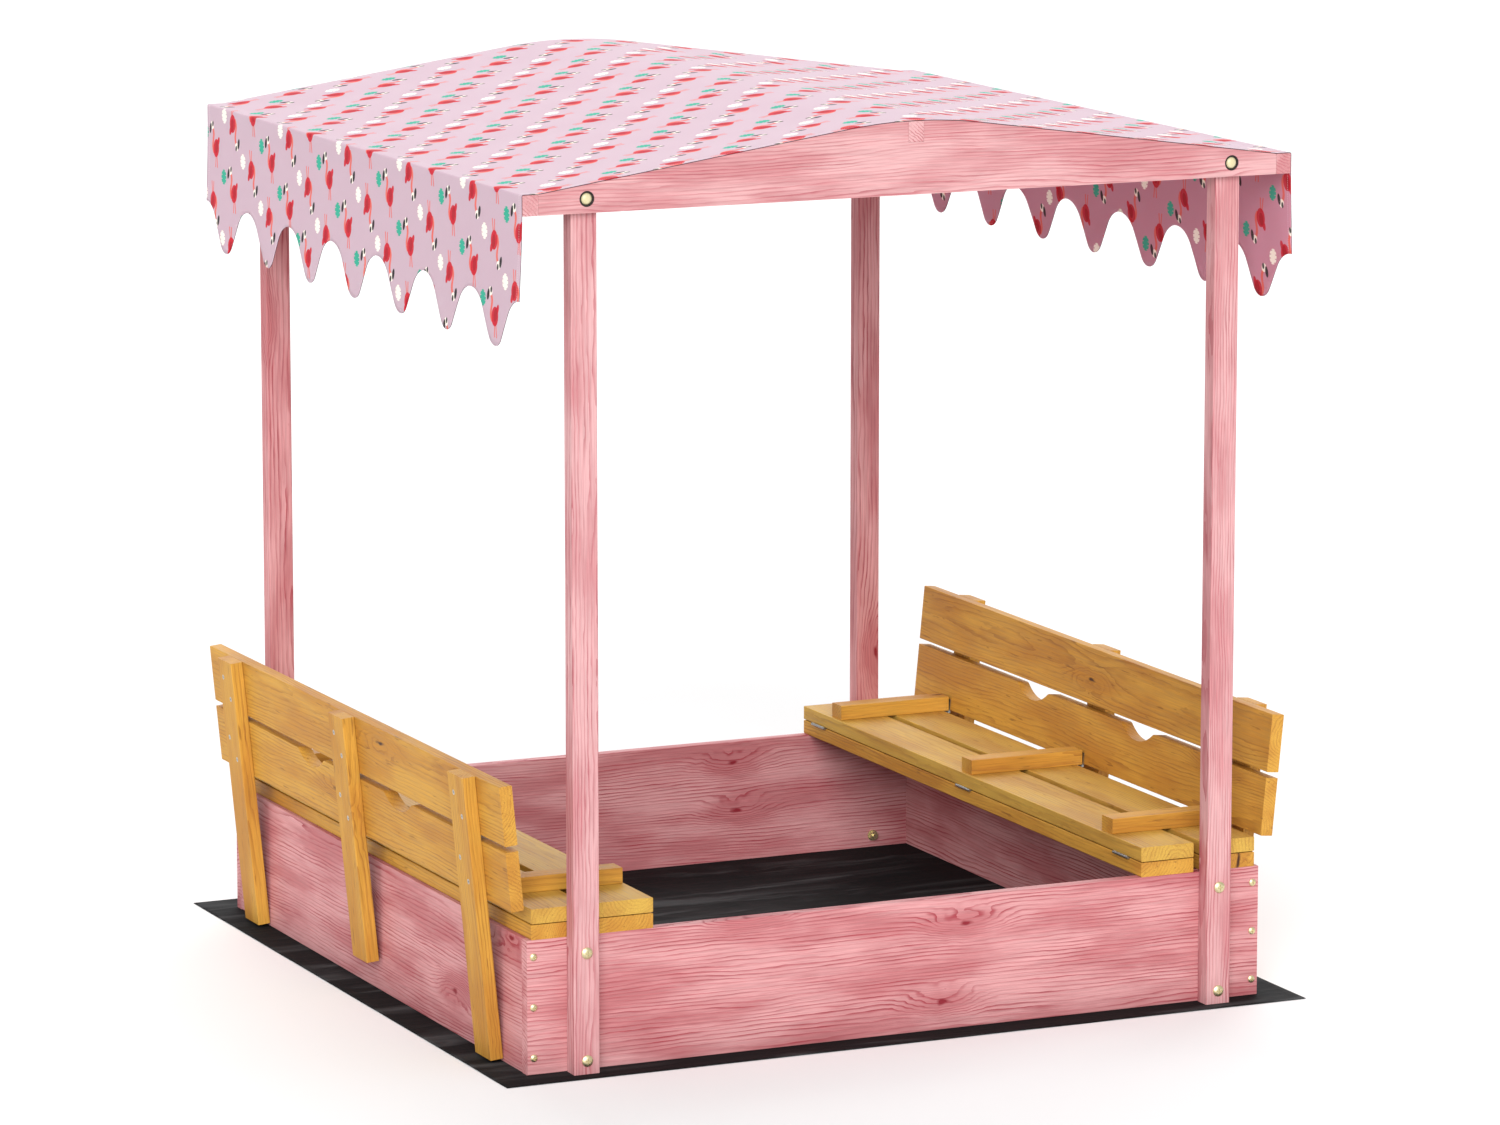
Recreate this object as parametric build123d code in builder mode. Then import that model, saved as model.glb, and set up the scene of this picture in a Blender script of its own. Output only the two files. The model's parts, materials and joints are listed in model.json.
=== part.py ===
from build123d import *
import math
import os

# A children's sandbox with a cloth roof. Its cover is two benches: each seat folds in over the box
# about its inner edge, and each backrest opens out flat, so that the two halves close the box.
# Origin: centre of the underside. X runs left to right, Y from front to back, Z up. Millimetres.

os.makedirs("parts", exist_ok=True)

# ---------------------------------------------------------------- driving dimensions: the box
box_width = 1200
box_depth = 1200
wall_height = 200
wall_thickness = 20
arris = 1.5  # rounding along the edges of the planed timber
sheet_overhang = 55
sheet_thickness = 0.8

# ---------------------------------------------------------------- driving dimensions: posts and roof
post_width = 40
post_depth = 28
post_inset = 82  # from the box's side to the middle of a post
post_top_gap = 3  # between a post's top and the cloth
eave_top = 1287.5  # above the ground sheet
eave_height = 30
eave_overhang = 17  # of the roof past the box's side
rail_width = 24
ridge_width = 24
ridge_height = 30
gable_thickness = 12
roof_slope = 8.1  # degrees
crown_radius = 750
timber_gap = 0.3  # between pieces that are slid together

# ---------------------------------------------------------------- driving dimensions: canopy cloth
cloth_thickness = 1.5
cloth_gap = 0.3  # between the cloth and the frame under it
valance_drop = 151  # from the eave down to the arches between the scallops
scallop_depth = 74.5
scallop_count = 7
scallop_tip_radius = 28
scallop_arch_radius = 52

# ---------------------------------------------------------------- driving dimensions: benches
board_thickness = 22
end_gap = 1  # between the ends of the bench boards and the box's front and back faces
bench_inset = 7  # from the box's side to the outer bench board
seat_board_gap = 15
layer_gap = 1.5  # between the base boards and the seat boards on them
closed_gap = 0.3  # between the folded-in seat boards and the walls under them
back_board_thickness = 20
back_board_gap = 9
meeting_gap = 10  # between the two halves of the closed cover
cleat_width = 35
cleat_height = 24
cleat_inset = 4  # from the seat's inner edge
outer_cleat_y = 480
leg_width = 60
leg_thickness = 20
middle_leg_short = 43
leg_ground_gap = 5.5
leg_wall_gap = 0.5
notch_radius = 85
notch_depth = 20
notch_shoulder = 12
notch_y = 180

# ---------------------------------------------------------------- driving dimensions: hinges
leaf_thickness = 1.2
leaf_width = 20.6  # from the pin's axis
knuckle_radius = 2.4
hinge_pin_radius = 1.1
pin_clearance = 0.1
pin_head_radius = 1.9
pin_head_thickness = 1
knuckle_gap = 0.5
knuckle_side_gap = 0.2
fold_hinge_length = 46
fold_hinge_y = 537
fold_leaf_gap = 0.3
back_hinge_length = 30
back_leaf_gap = 0.6
back_pin_out = 2  # of the backrest's pins past the box's side
back_pin_drop = 2.1  # of the backrest's pins below the seat's top
leaf_hole_radius = 1.6
leaf_sink_radius = 2.8
leaf_hole_share = 0.3  # of a leaf's length, from its middle to each screw hole

# ---------------------------------------------------------------- driving dimensions: fasteners
hole_clearance = 0.1
corner_screw_inset = 10
corner_screw_edge = 25
corner_screw_length = 60
corner_screw_radius = 2.25
corner_head_radius = 5.5
corner_head_height = 3
bolt_radius = 4
bolt_edge = 20  # from the wall's top and bottom edges
bolt_length = 60
gable_bolt_length = 45
bolt_head_radius = 8.5
bolt_head_height = 4.5
gable_head_height = 6
counterbore_radius = 11.5
counterbore_depth = 5
washer_radius = 9
washer_thickness = 1.6
nut_across_flats = 13
nut_height = 6.5
wood_screw_radius = 2
wood_head_radius = 4
base_screw_inset = 25
base_screw_length = 45
seat_screw_length = 38
back_screw_length = 35
back_screw_rise = 16
back_screw_side = 12
roof_screw_length = 60
recess_width = 1.1
recess_depth = 1.5
crown_share = 0.3  # of a rounded head's radius, the flat of its top
rim_share = 0.4  # of a rounded head's height, the upright rim

# ---------------------------------------------------------------- places that follow from them
ground = sheet_thickness
half_width = box_width / 2
half_depth = box_depth / 2
sides = {"left": -1, "right": 1}
ends = {"front": -1, "back": 1}

post_x = half_width - post_inset
roof_half_width = half_width + eave_overhang
gable_half_width = roof_half_width - rail_width
roof_half_length = half_depth + post_depth + gable_thickness
slope = math.radians(roof_slope)
sharp_apex = eave_top + gable_half_width * math.tan(slope)
crown_top = sharp_apex - crown_radius * (1 / math.cos(slope) - 1)
gable_bottom = eave_top - eave_height
gable_screw_y = roof_half_length - gable_thickness / 2


def roof_height(x):
    """Height of the gable's straight top edge above the ground sheet."""
    return eave_top + (gable_half_width - abs(x)) * math.tan(slope)


gable_bolt_height = (gable_bottom + roof_height(post_x)) / 2
post_top = roof_height(post_x + post_width / 2) - post_top_gap

# The six boards of one half of the cover share half the box's width with the gaps between them.
knuckle_offset = knuckle_radius + knuckle_side_gap
back_face_offset = back_leaf_gap / 2 + leaf_thickness
back_start = knuckle_radius  # from the backrest's pins to the lower board's edge
gaps_of_a_half = (
    2 * bench_inset + 2 * seat_board_gap + 2 * knuckle_offset + back_pin_out
    + back_start + back_board_gap + meeting_gap / 2
)
board_width = (half_width - gaps_of_a_half) / 6
board_length = box_depth - 2 * end_gap

bench_outer = half_width - bench_inset
bench_inner = bench_outer - 2 * board_width - seat_board_gap
base_bottom = wall_height
base_top = base_bottom + board_thickness
seat_bottom = base_top + layer_gap
seat_top = seat_bottom + board_thickness
fold_pin_x = bench_inner - knuckle_offset
fold_pin_z = base_top + (layer_gap + closed_gap) / 2
back_pin_x = half_width + back_pin_out
back_pin_z = seat_top - back_pin_drop
cleat_start = bench_inner + cleat_inset
cleat_end = back_pin_x - back_face_offset
cleat_places = {"front": -outer_cleat_y, "middle": 0, "back": outer_cleat_y}
fold_hinge_places = (-fold_hinge_y, 0, fold_hinge_y)

# The backrest leans out until the feet of its legs bear on the outside of the box.
lower_board_top = back_start + board_width
upper_board_start = lower_board_top + back_board_gap
back_top = upper_board_start + board_width
leg_face = back_face_offset + back_board_thickness
foot_x = half_width + leg_wall_gap - back_pin_x
foot_z = leg_ground_gap - back_pin_z
leg_drop = math.sqrt(foot_x**2 + foot_z**2 - leg_face**2)
lean = -math.atan2(foot_z, foot_x) - math.atan2(leg_drop, leg_face)


def save(piece, name):
    """Label a finished piece and write it as one STEP file."""
    piece.part.label = name
    export_step(piece.part, f"parts/{name}.step")


def bench_plane(side, y, x=0, z=0):
    """Cross-section of a bench at y: local x runs outwards from the middle of the box, local y up."""
    return Plane(origin=(side * x, y, ground + z), x_dir=(side, 0, 0), z_dir=(0, -side, 0))


def back_directions(side):
    """The leaning backrest's outward normal and its upward direction."""
    outward = Vector(side * math.cos(lean), 0, -math.sin(lean))
    upward = Vector(side * math.sin(lean), 0, math.cos(lean))
    return outward, upward


def back_point(side, y, out, up):
    """A point given from the backrest's pin axis: out along its normal and up along its boards."""
    outward, upward = back_directions(side)
    return Vector(side * back_pin_x, y, ground + back_pin_z) + outward * out + upward * up


def drill(seats, radius, depth):
    """Cut straight holes of one size, each down from the outward-facing plane that seats it."""
    with Locations(*seats):
        Hole(radius, depth)


def sink(seats, depth):
    """Cut countersunk holes for the wood screws."""
    with Locations(*seats):
        CounterSinkHole(
            wood_screw_radius + hole_clearance, wood_head_radius + hole_clearance, depth, 90
        )


# ---------------------------------------------------------------- where the fasteners sit
corner_screw_heights = (corner_screw_edge, wall_height / 2, wall_height - corner_screw_edge)
corner_screw_seats = {
    (end, side): [
        Plane(
            origin=(side * (half_width - corner_screw_inset), end * half_depth, ground + height),
            z_dir=(0, end, 0),
        )
        for height in corner_screw_heights
    ]
    for end in ends.values()
    for side in sides.values()
}
wall_bolt_seats = {
    (end, side): [
        Plane(
            origin=(side * post_x, end * (half_depth + post_depth), ground + height),
            z_dir=(0, end, 0),
        )
        for height in (bolt_edge, wall_height - bolt_edge)
    ]
    for end in ends.values()
    for side in sides.values()
}
gable_bolt_seats = {
    (end, side): Plane(
        origin=(side * post_x, end * roof_half_length, ground + gable_bolt_height),
        z_dir=(0, end, 0),
    )
    for end in ends.values()
    for side in sides.values()
}
base_screw_y = half_depth - wall_thickness / 2
board_bands = {
    "inner": (bench_inner, bench_inner + board_width),
    "outer": (bench_outer - board_width, bench_outer),
}


def screw_line(band):
    """The two screw places across a bench board."""
    return (board_bands[band][0] + base_screw_inset, board_bands[band][1] - base_screw_inset)


base_screw_seats = {
    (side, band): [
        Plane(origin=(side * x, end * base_screw_y, ground + base_top), z_dir=(0, 0, 1))
        for x in screw_line(band)
        for end in ends.values()
    ]
    for side in sides.values()
    for band in board_bands
}
seat_screw_seats = {
    (side, band): [
        Plane(origin=(side * x, y, ground + seat_bottom), z_dir=(0, 0, -1))
        for x in screw_line(band)
        for y in cleat_places.values()
    ]
    for side in sides.values()
    for band in board_bands
}
back_board_middles = (
    back_start + board_width / 2,
    upper_board_start + board_width / 2,
)


def back_screw_seats(side, board_middle, leg_y):
    """Two screws through a leg into one backrest board, one above and behind the other."""
    outward, upward = back_directions(side)
    return [
        Plane(
            origin=back_point(
                side,
                leg_y + step * back_screw_side,
                leg_face + leg_thickness,
                board_middle + step * back_screw_rise,
            ),
            x_dir=(0, side, 0),
            z_dir=outward,
        )
        for step in (-1, 1)
    ]


rail_screw_seats = {
    side: [
        Plane(
            origin=(side * roof_half_width, end * gable_screw_y, ground + eave_top - eave_height / 2),
            z_dir=(side, 0, 0),
        )
        for end in ends.values()
    ]
    for side in sides.values()
}
ridge_screw_seats = [
    Plane(origin=(0, end * gable_screw_y, ground + crown_top - timber_gap), z_dir=(0, 0, 1))
    for end in ends.values()
]

# ---------------------------------------------------------------- ground sheet and box walls
with BuildPart() as ground_sheet:
    with BuildSketch(Plane.XY):
        Rectangle(box_width + 2 * sheet_overhang, box_depth + 2 * sheet_overhang)
    extrude(amount=sheet_thickness)
save(ground_sheet, "ground_sheet")

for end_name, end in ends.items():
    with BuildPart() as end_wall:
        with BuildSketch(Plane.YZ):
            with Locations((end * (half_depth - wall_thickness / 2), ground + wall_height / 2)):
                RectangleRounded(wall_thickness, wall_height, arris)
        extrude(amount=half_width, both=True)
        for side in sides.values():
            drill(corner_screw_seats[end, side], corner_screw_radius + hole_clearance, corner_screw_length)
            drill(wall_bolt_seats[end, side], bolt_radius + hole_clearance, bolt_length)
            for band in board_bands:
                seats = [seat for seat in base_screw_seats[side, band] if seat.origin.Y * end > 0]
                drill(seats, wood_screw_radius + hole_clearance, base_screw_length)
    save(end_wall, f"{end_name}_wall")

for side_name, side in sides.items():
    with BuildPart() as side_wall:
        with BuildSketch(Plane.XZ):
            with Locations((side * (half_width - wall_thickness / 2), ground + wall_height / 2)):
                RectangleRounded(wall_thickness, wall_height, arris)
        extrude(amount=half_depth - wall_thickness, both=True)
        for end in ends.values():
            drill(corner_screw_seats[end, side], corner_screw_radius + hole_clearance, corner_screw_length)
    save(side_wall, f"{side_name}_wall")

# ---------------------------------------------------------------- posts
for end_name, end in ends.items():
    for side_name, side in sides.items():
        with BuildPart() as post:
            with BuildSketch(Plane.XY.offset(ground)):
                with Locations((side * post_x, end * (half_depth + post_depth / 2))):
                    RectangleRounded(post_width, post_depth, arris)
            extrude(amount=post_top)
            drill(wall_bolt_seats[end, side], bolt_radius + hole_clearance, post_depth)
            drill(
                [gable_bolt_seats[end, side]],
                bolt_radius + hole_clearance,
                gable_thickness + post_depth,
            )
        save(post, f"post_{end_name}_{side_name}")

# ---------------------------------------------------------------- roof frame
for end_name, end in ends.items():
    inner_face = Plane.XZ.offset(-end * (half_depth + post_depth))
    end_x = gable_half_width - timber_gap
    with BuildPart() as gable:
        with BuildSketch(inner_face):
            with BuildLine():
                FilletPolyline(
                    (-end_x, ground + gable_bottom),
                    (end_x, ground + gable_bottom),
                    (end_x, ground + roof_height(end_x)),
                    (0, ground + sharp_apex),
                    (-end_x, ground + roof_height(end_x)),
                    radius=(arris, arris, arris, crown_radius, arris),
                    close=True,
                )
            make_face()
            with Locations((0, ground + crown_top - ridge_height - 2 * timber_gap)):
                Rectangle(
                    ridge_width + 2 * timber_gap,
                    2 * ridge_height,
                    align=(Align.CENTER, Align.MIN),
                    mode=Mode.SUBTRACT,
                )
        extrude(amount=-end * gable_thickness)
        for side in sides.values():
            with Locations(gable_bolt_seats[end, side]):
                CounterBoreHole(bolt_radius + hole_clearance, counterbore_radius, counterbore_depth)
            drill(
                [seat for seat in rail_screw_seats[side] if seat.origin.Y * end > 0],
                wood_screw_radius + hole_clearance,
                roof_screw_length,
            )
        drill(
            [seat for seat in ridge_screw_seats if seat.origin.Y * end > 0],
            wood_screw_radius + hole_clearance,
            roof_screw_length,
        )
    save(gable, f"{end_name}_gable")

for side_name, side in sides.items():
    with BuildPart() as eave_rail:
        with BuildSketch(Plane.XZ):
            with Locations(
                (side * (roof_half_width - rail_width / 2), ground + eave_top - eave_height / 2)
            ):
                RectangleRounded(rail_width, eave_height, arris)
        extrude(amount=roof_half_length, both=True)
        sink(rail_screw_seats[side], rail_width)
    save(eave_rail, f"{side_name}_eave_rail")

with BuildPart() as ridge_beam:
    with BuildSketch(Plane.XZ):
        with Locations((0, ground + crown_top - timber_gap - ridge_height / 2)):
            RectangleRounded(ridge_width, ridge_height, arris)
    extrude(amount=roof_half_length, both=True)
    sink(ridge_screw_seats, ridge_height)
save(ridge_beam, "ridge_beam")

# ---------------------------------------------------------------- canopy cloth
def cloth_outline(gap, bottom):
    """One face of the cloth, gap away from the roof frame: up a valance, over the roof and down."""
    side_x = roof_half_width + gap
    kink_x = gable_half_width + gap * math.tan(slope / 2)
    eave_z = ground + eave_top + gap
    apex_z = ground + sharp_apex + gap / math.cos(slope)
    eave_radius = arris + gap
    points = [
        (-side_x, bottom),
        (-side_x, eave_z),
        (-kink_x, eave_z),
        (0, apex_z),
        (kink_x, eave_z),
        (side_x, eave_z),
        (side_x, bottom),
    ]
    radii = [0, eave_radius, 0, crown_radius + gap, 0, eave_radius, 0]
    return FilletPolyline(*points, radius=radii, close=True)


arch_z = ground + eave_top - valance_drop
tip_z = arch_z - scallop_depth
scallop_pitch = 2 * roof_half_length / scallop_count

# Each flank between an arch and a tip is straight and meets both round stretches smoothly.
radius_sum = scallop_tip_radius + scallop_arch_radius
flank_reach = math.hypot(scallop_pitch / 2, radius_sum - scallop_depth)
flank_angle = math.asin(radius_sum / flank_reach) - math.atan2(
    radius_sum - scallop_depth, scallop_pitch / 2
)
corner_share = 1 / math.cos(flank_angle) - 1
tip_corner_z = tip_z - scallop_tip_radius * corner_share
arch_corner_z = arch_z + scallop_arch_radius * corner_share

zigzag = []
zigzag_radii = []
for half_step in range(-1, 2 * scallop_count + 2):
    is_tip = half_step % 2 == 1
    y = -roof_half_length + half_step * scallop_pitch / 2
    zigzag.append((y, tip_corner_z if is_tip else arch_corner_z))
    zigzag_radii.append(scallop_tip_radius if is_tip else scallop_arch_radius)
below = tip_z - scallop_depth
zigzag += [(zigzag[-1][0], below), (zigzag[0][0], below)]
zigzag_radii[0] = zigzag_radii[-1] = 0
zigzag_radii += [0, 0]

with BuildPart() as canopy_cover:
    with BuildSketch(Plane.XZ):
        with BuildLine():
            cloth_outline(cloth_gap + cloth_thickness, tip_z)
        make_face()
        with BuildLine():
            cloth_outline(cloth_gap, tip_z - scallop_depth)
        make_face(mode=Mode.SUBTRACT)
    extrude(amount=roof_half_length, both=True)
    with BuildSketch(Plane.YZ):
        with BuildLine():
            FilletPolyline(*zigzag, radius=zigzag_radii, close=True)
        make_face()
    extrude(amount=2 * roof_half_width, both=True, mode=Mode.SUBTRACT)
save(canopy_cover, "canopy_cover")

# ---------------------------------------------------------------- hinge leaves and pins
leaf_reach = leaf_thickness + fold_leaf_gap / 2
base_leaf_recess = leaf_reach - (fold_pin_z - base_top)
seat_leaf_recess = leaf_reach - (seat_bottom - fold_pin_z)


def hinge_leaves(planes, length, leaf_gap, end_knuckles):
    """One leaf on each plane. The plane starts at the pin: local x runs along the leaf, local y to
    the wood. A leaf has either the two end knuckles or the middle one."""
    end_knuckle = (length - 2 * knuckle_gap) * leaf_hole_share
    middle_knuckle = length - 2 * end_knuckle - 2 * knuckle_gap
    if end_knuckles:
        knuckle_length = end_knuckle
        knuckle_steps = (-(length - end_knuckle) / 2, (length - end_knuckle) / 2)
    else:
        knuckle_length = middle_knuckle
        knuckle_steps = (0,)
    with BuildPart() as leaves:
        for plane in planes:
            with BuildSketch(plane):
                with Locations((knuckle_offset, leaf_gap / 2)):
                    Rectangle(
                        leaf_width - knuckle_offset, leaf_thickness, align=(Align.MIN, Align.MIN)
                    )
            extrude(amount=length / 2, both=True)
            for step in knuckle_steps:
                with BuildSketch(plane.offset(step)):
                    Circle(knuckle_radius)
                    with Locations((0, leaf_gap / 2)):
                        Rectangle(knuckle_offset, leaf_thickness, align=(Align.MIN, Align.MIN))
                    Circle(hinge_pin_radius + pin_clearance, mode=Mode.SUBTRACT)
                extrude(amount=knuckle_length / 2, both=True)
            hole_x = (knuckle_offset + leaf_width) / 2
            free_face = plane.origin + plane.y_dir * (leaf_gap / 2) + plane.x_dir * hole_x
            for step in (-1, 1):
                middle = free_face + plane.z_dir * (step * leaf_hole_share * length)
                with Locations(Plane(origin=middle, x_dir=plane.x_dir, z_dir=-plane.y_dir)):
                    CounterSinkHole(leaf_hole_radius, leaf_sink_radius, leaf_thickness, 90)
    return leaves


def hinge_pins(planes, length):
    """One pin on each plane's origin, with a small flat head closing each end of the barrel."""
    with BuildPart() as pins:
        for plane in planes:
            with BuildSketch(plane):
                Circle(hinge_pin_radius)
            extrude(amount=length / 2 + knuckle_gap, both=True)
            for way in (-1, 1):
                with BuildSketch(plane.offset(way * (length / 2 + knuckle_gap))):
                    Circle(pin_head_radius)
                extrude(amount=way * pin_head_thickness)
    return pins


fold_pin_planes = {
    side: [bench_plane(side, y, fold_pin_x, fold_pin_z) for y in fold_hinge_places]
    for side in sides.values()
}
back_pin_planes = {
    side: [bench_plane(side, y, back_pin_x, back_pin_z) for y in cleat_places.values()]
    for side in sides.values()
}


def turned(plane, x_dir, y_dir):
    """A plane at the same origin with the given local x and y directions."""
    x_dir, y_dir = Vector(x_dir), Vector(y_dir)
    return Plane(origin=plane.origin, x_dir=x_dir, z_dir=x_dir.cross(y_dir))


base_leaf_planes = [
    turned(plane, (side, 0, 0), (0, 0, -1))
    for side in sides.values()
    for plane in fold_pin_planes[side]
]
save(
    hinge_leaves(base_leaf_planes, fold_hinge_length, fold_leaf_gap, end_knuckles=True),
    "fold_hinge_base_leaves",
)
all_fold_pins = [plane for side in sides.values() for plane in fold_pin_planes[side]]
save(hinge_pins(all_fold_pins, fold_hinge_length), "fold_hinge_pins")

for side_name, side in sides.items():
    seat_leaf_planes = [turned(plane, (side, 0, 0), (0, 0, 1)) for plane in fold_pin_planes[side]]
    cleat_leaf_planes = [turned(plane, (0, 0, 1), (-side, 0, 0)) for plane in back_pin_planes[side]]
    outward, upward = back_directions(side)
    back_leaf_planes = [turned(plane, upward, outward) for plane in back_pin_planes[side]]
    save(
        hinge_leaves(seat_leaf_planes, fold_hinge_length, fold_leaf_gap, end_knuckles=False),
        f"{side_name}_fold_hinge_seat_leaves",
    )
    save(
        hinge_leaves(cleat_leaf_planes, back_hinge_length, back_leaf_gap, end_knuckles=True),
        f"{side_name}_back_hinge_cleat_leaves",
    )
    save(
        hinge_leaves(back_leaf_planes, back_hinge_length, back_leaf_gap, end_knuckles=False),
        f"{side_name}_back_hinge_back_leaves",
    )
    save(hinge_pins(back_pin_planes[side], back_hinge_length), f"{side_name}_back_hinge_pins")


# ---------------------------------------------------------------- base boards, seat boards, cleats
def bench_board(side, band, bottom):
    """A board lying along the bench, with the recesses for the fold hinges' leaves if it is inner."""
    near, far = board_bands[band]
    if bottom == base_bottom:
        recess_z, recess = base_top, base_leaf_recess
    else:
        recess_z, recess = seat_bottom, seat_leaf_recess
    with BuildPart() as board:
        with BuildSketch(bench_plane(side, 0)):
            with Locations(((near + far) / 2, bottom + board_thickness / 2)):
                RectangleRounded(board_width, board_thickness, arris)
        extrude(amount=board_length / 2, both=True)
        if band == "inner":
            for y in fold_hinge_places:
                with BuildSketch(bench_plane(side, y)):
                    with Locations((near, recess_z)):
                        Rectangle(2 * (leaf_width - knuckle_offset + timber_gap), 2 * recess)
                extrude(
                    amount=fold_hinge_length / 2 + timber_gap, both=True, mode=Mode.SUBTRACT
                )
        if bottom == base_bottom:
            sink(base_screw_seats[side, band], board_thickness)
        else:
            sink(seat_screw_seats[side, band], board_thickness)
    return board


for side_name, side in sides.items():
    for band in board_bands:
        save(bench_board(side, band, base_bottom), f"{side_name}_base_board_{band}")
        save(bench_board(side, band, seat_bottom), f"{side_name}_seat_board_{band}")
    for place, cleat_y in cleat_places.items():
        section = Plane(
            origin=(side * cleat_start, cleat_y, ground + seat_top + cleat_height / 2),
            x_dir=(0, side, 0),
            z_dir=(side, 0, 0),
        )
        with BuildPart() as cleat:
            with BuildSketch(section):
                RectangleRounded(cleat_width, cleat_height, arris)
            extrude(amount=cleat_end - cleat_start)
            for band in board_bands:
                seats = [seat for seat in seat_screw_seats[side, band] if seat.origin.Y == cleat_y]
                drill(seats, wood_screw_radius + hole_clearance, seat_screw_length)
        save(cleat, f"{side_name}_seat_cleat_{place}")


# ---------------------------------------------------------------- backrest boards and legs
def drill_back(side, board_middle):
    """The screw holes of all three legs in one backrest board."""
    for leg_y in cleat_places.values():
        drill(
            back_screw_seats(side, board_middle, leg_y),
            wood_screw_radius + hole_clearance,
            back_screw_length,
        )


for side_name, side in sides.items():
    outward, upward = back_directions(side)
    front_face = Plane(
        origin=back_point(side, 0, back_face_offset, 0), x_dir=(0, side, 0), z_dir=outward
    )
    with BuildPart() as lower_back_board:
        with BuildSketch(front_face):
            with Locations((0, back_start)):
                Rectangle(board_length, board_width, align=(Align.CENTER, Align.MIN))
            with Locations(
                (-notch_y, lower_board_top + notch_radius - notch_depth),
                (notch_y, lower_board_top + notch_radius - notch_depth),
            ):
                Circle(notch_radius, mode=Mode.SUBTRACT)
        extrude(amount=back_board_thickness)
        fillet(
            lower_back_board.edges()
            .filter_by(lambda edge: abs(edge.length - back_board_thickness) < arris)
            .filter_by(lambda edge: abs(edge.center().Y) < notch_y + notch_radius),
            notch_shoulder,
        )
        fillet(
            lower_back_board.edges().filter_by(Axis.Y).group_by(Axis.Z)[0]
            + lower_back_board.edges().filter_by(Axis.Y).group_by(Axis.Z)[1],
            arris,
        )
        drill_back(side, back_board_middles[0])
    save(lower_back_board, f"{side_name}_back_board_lower")

    section = Plane(
        origin=back_point(side, 0, back_face_offset + back_board_thickness / 2, back_board_middles[1]),
        x_dir=outward,
        z_dir=(0, -side, 0),
    )
    with BuildPart() as upper_back_board:
        with BuildSketch(section):
            RectangleRounded(back_board_thickness, board_width, arris)
        extrude(amount=board_length / 2, both=True)
        drill_back(side, back_board_middles[1])
    save(upper_back_board, f"{side_name}_back_board_upper")

    for place, leg_y in cleat_places.items():
        drop = leg_drop - middle_leg_short if place == "middle" else leg_drop
        foot = Plane(
            origin=back_point(side, leg_y, leg_face + leg_thickness / 2, -drop),
            x_dir=(0, side, 0),
            z_dir=upward,
        )
        with BuildPart() as leg:
            with BuildSketch(foot):
                RectangleRounded(leg_width, leg_thickness, arris)
            extrude(amount=drop + back_top)
            for board_middle in back_board_middles:
                sink(back_screw_seats(side, board_middle, leg_y), leg_thickness)
        save(leg, f"{side_name}_back_leg_{place}")


# ---------------------------------------------------------------- fasteners
def pan_head(head_radius, head_height, shank_radius, length, recessed=True):
    """A screw or bolt with a low rounded head above z = 0 and its shank below."""
    crown = head_radius * crown_share
    with BuildPart() as fastener:
        with BuildSketch(Plane.XZ):
            with BuildLine():
                Polyline(
                    (crown, head_height), (0, head_height), (0, -length), (shank_radius, -length),
                    (shank_radius, 0), (head_radius, 0), (head_radius, head_height * rim_share),
                )
                TangentArc(
                    (crown, head_height), (head_radius, head_height * rim_share), tangent=(1, 0)
                )
            make_face()
        revolve(axis=Axis.Z)
        if recessed:
            cut_cross(head_radius, head_height)
    return fastener.part


def wood_screw(length):
    """A countersunk screw whose flat head ends at z = 0."""
    with BuildPart() as fastener:
        with BuildSketch(Plane.XZ):
            with BuildLine():
                Polyline(
                    (0, 0), (0, -length), (wood_screw_radius, -length),
                    (wood_screw_radius, wood_screw_radius - wood_head_radius),
                    (wood_head_radius, 0), close=True,
                )
            make_face()
        revolve(axis=Axis.Z)
        cut_cross(wood_head_radius, 0)
    return fastener.part


def cut_cross(head_radius, top):
    """A cross recess in the middle of a head, cut down from its top."""
    for length, width in ((head_radius, recess_width), (recess_width, head_radius)):
        with Locations((0, 0, top)):
            Box(length, width, 2 * recess_depth, mode=Mode.SUBTRACT)


def fastener_group(master, seats, name):
    """Copies of one fastener, one on each seat."""
    with BuildPart() as fasteners:
        with Locations(*seats):
            add(master)
    save(fasteners, name)


def flattened(groups):
    return [seat for seats in groups for seat in seats]


corner_screw = pan_head(corner_head_radius, corner_head_height, corner_screw_radius, corner_screw_length)
fastener_group(corner_screw, flattened(corner_screw_seats.values()), "corner_screws")

post_bolt = pan_head(bolt_head_radius, bolt_head_height, bolt_radius, bolt_length)
fastener_group(post_bolt, flattened(wall_bolt_seats.values()), "post_bolts")

gable_bolt = pan_head(
    bolt_head_radius, gable_head_height, bolt_radius, gable_bolt_length, recessed=False
)
sunk_seats = [seat.offset(-counterbore_depth) for seat in gable_bolt_seats.values()]
fastener_group(gable_bolt, sunk_seats, "gable_bolts")

washer_seats = [
    seat.offset(-post_depth - wall_thickness) for seat in flattened(wall_bolt_seats.values())
] + [seat.offset(-gable_thickness - post_depth) for seat in gable_bolt_seats.values()]
with BuildPart() as washer:
    with BuildSketch(Plane.XY):
        Circle(washer_radius)
        Circle(bolt_radius + hole_clearance, mode=Mode.SUBTRACT)
    extrude(amount=-washer_thickness)
fastener_group(washer.part, washer_seats, "bolt_washers")

with BuildPart() as nut:
    with BuildSketch(Plane.XY.offset(-washer_thickness)):
        RegularPolygon(nut_across_flats / 2, 6, major_radius=False)
        Circle(bolt_radius + hole_clearance, mode=Mode.SUBTRACT)
    extrude(amount=-nut_height)
fastener_group(nut.part, washer_seats, "bolt_nuts")

base_screw = wood_screw(base_screw_length)
fastener_group(base_screw, flattened(base_screw_seats.values()), "base_board_screws")

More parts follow.
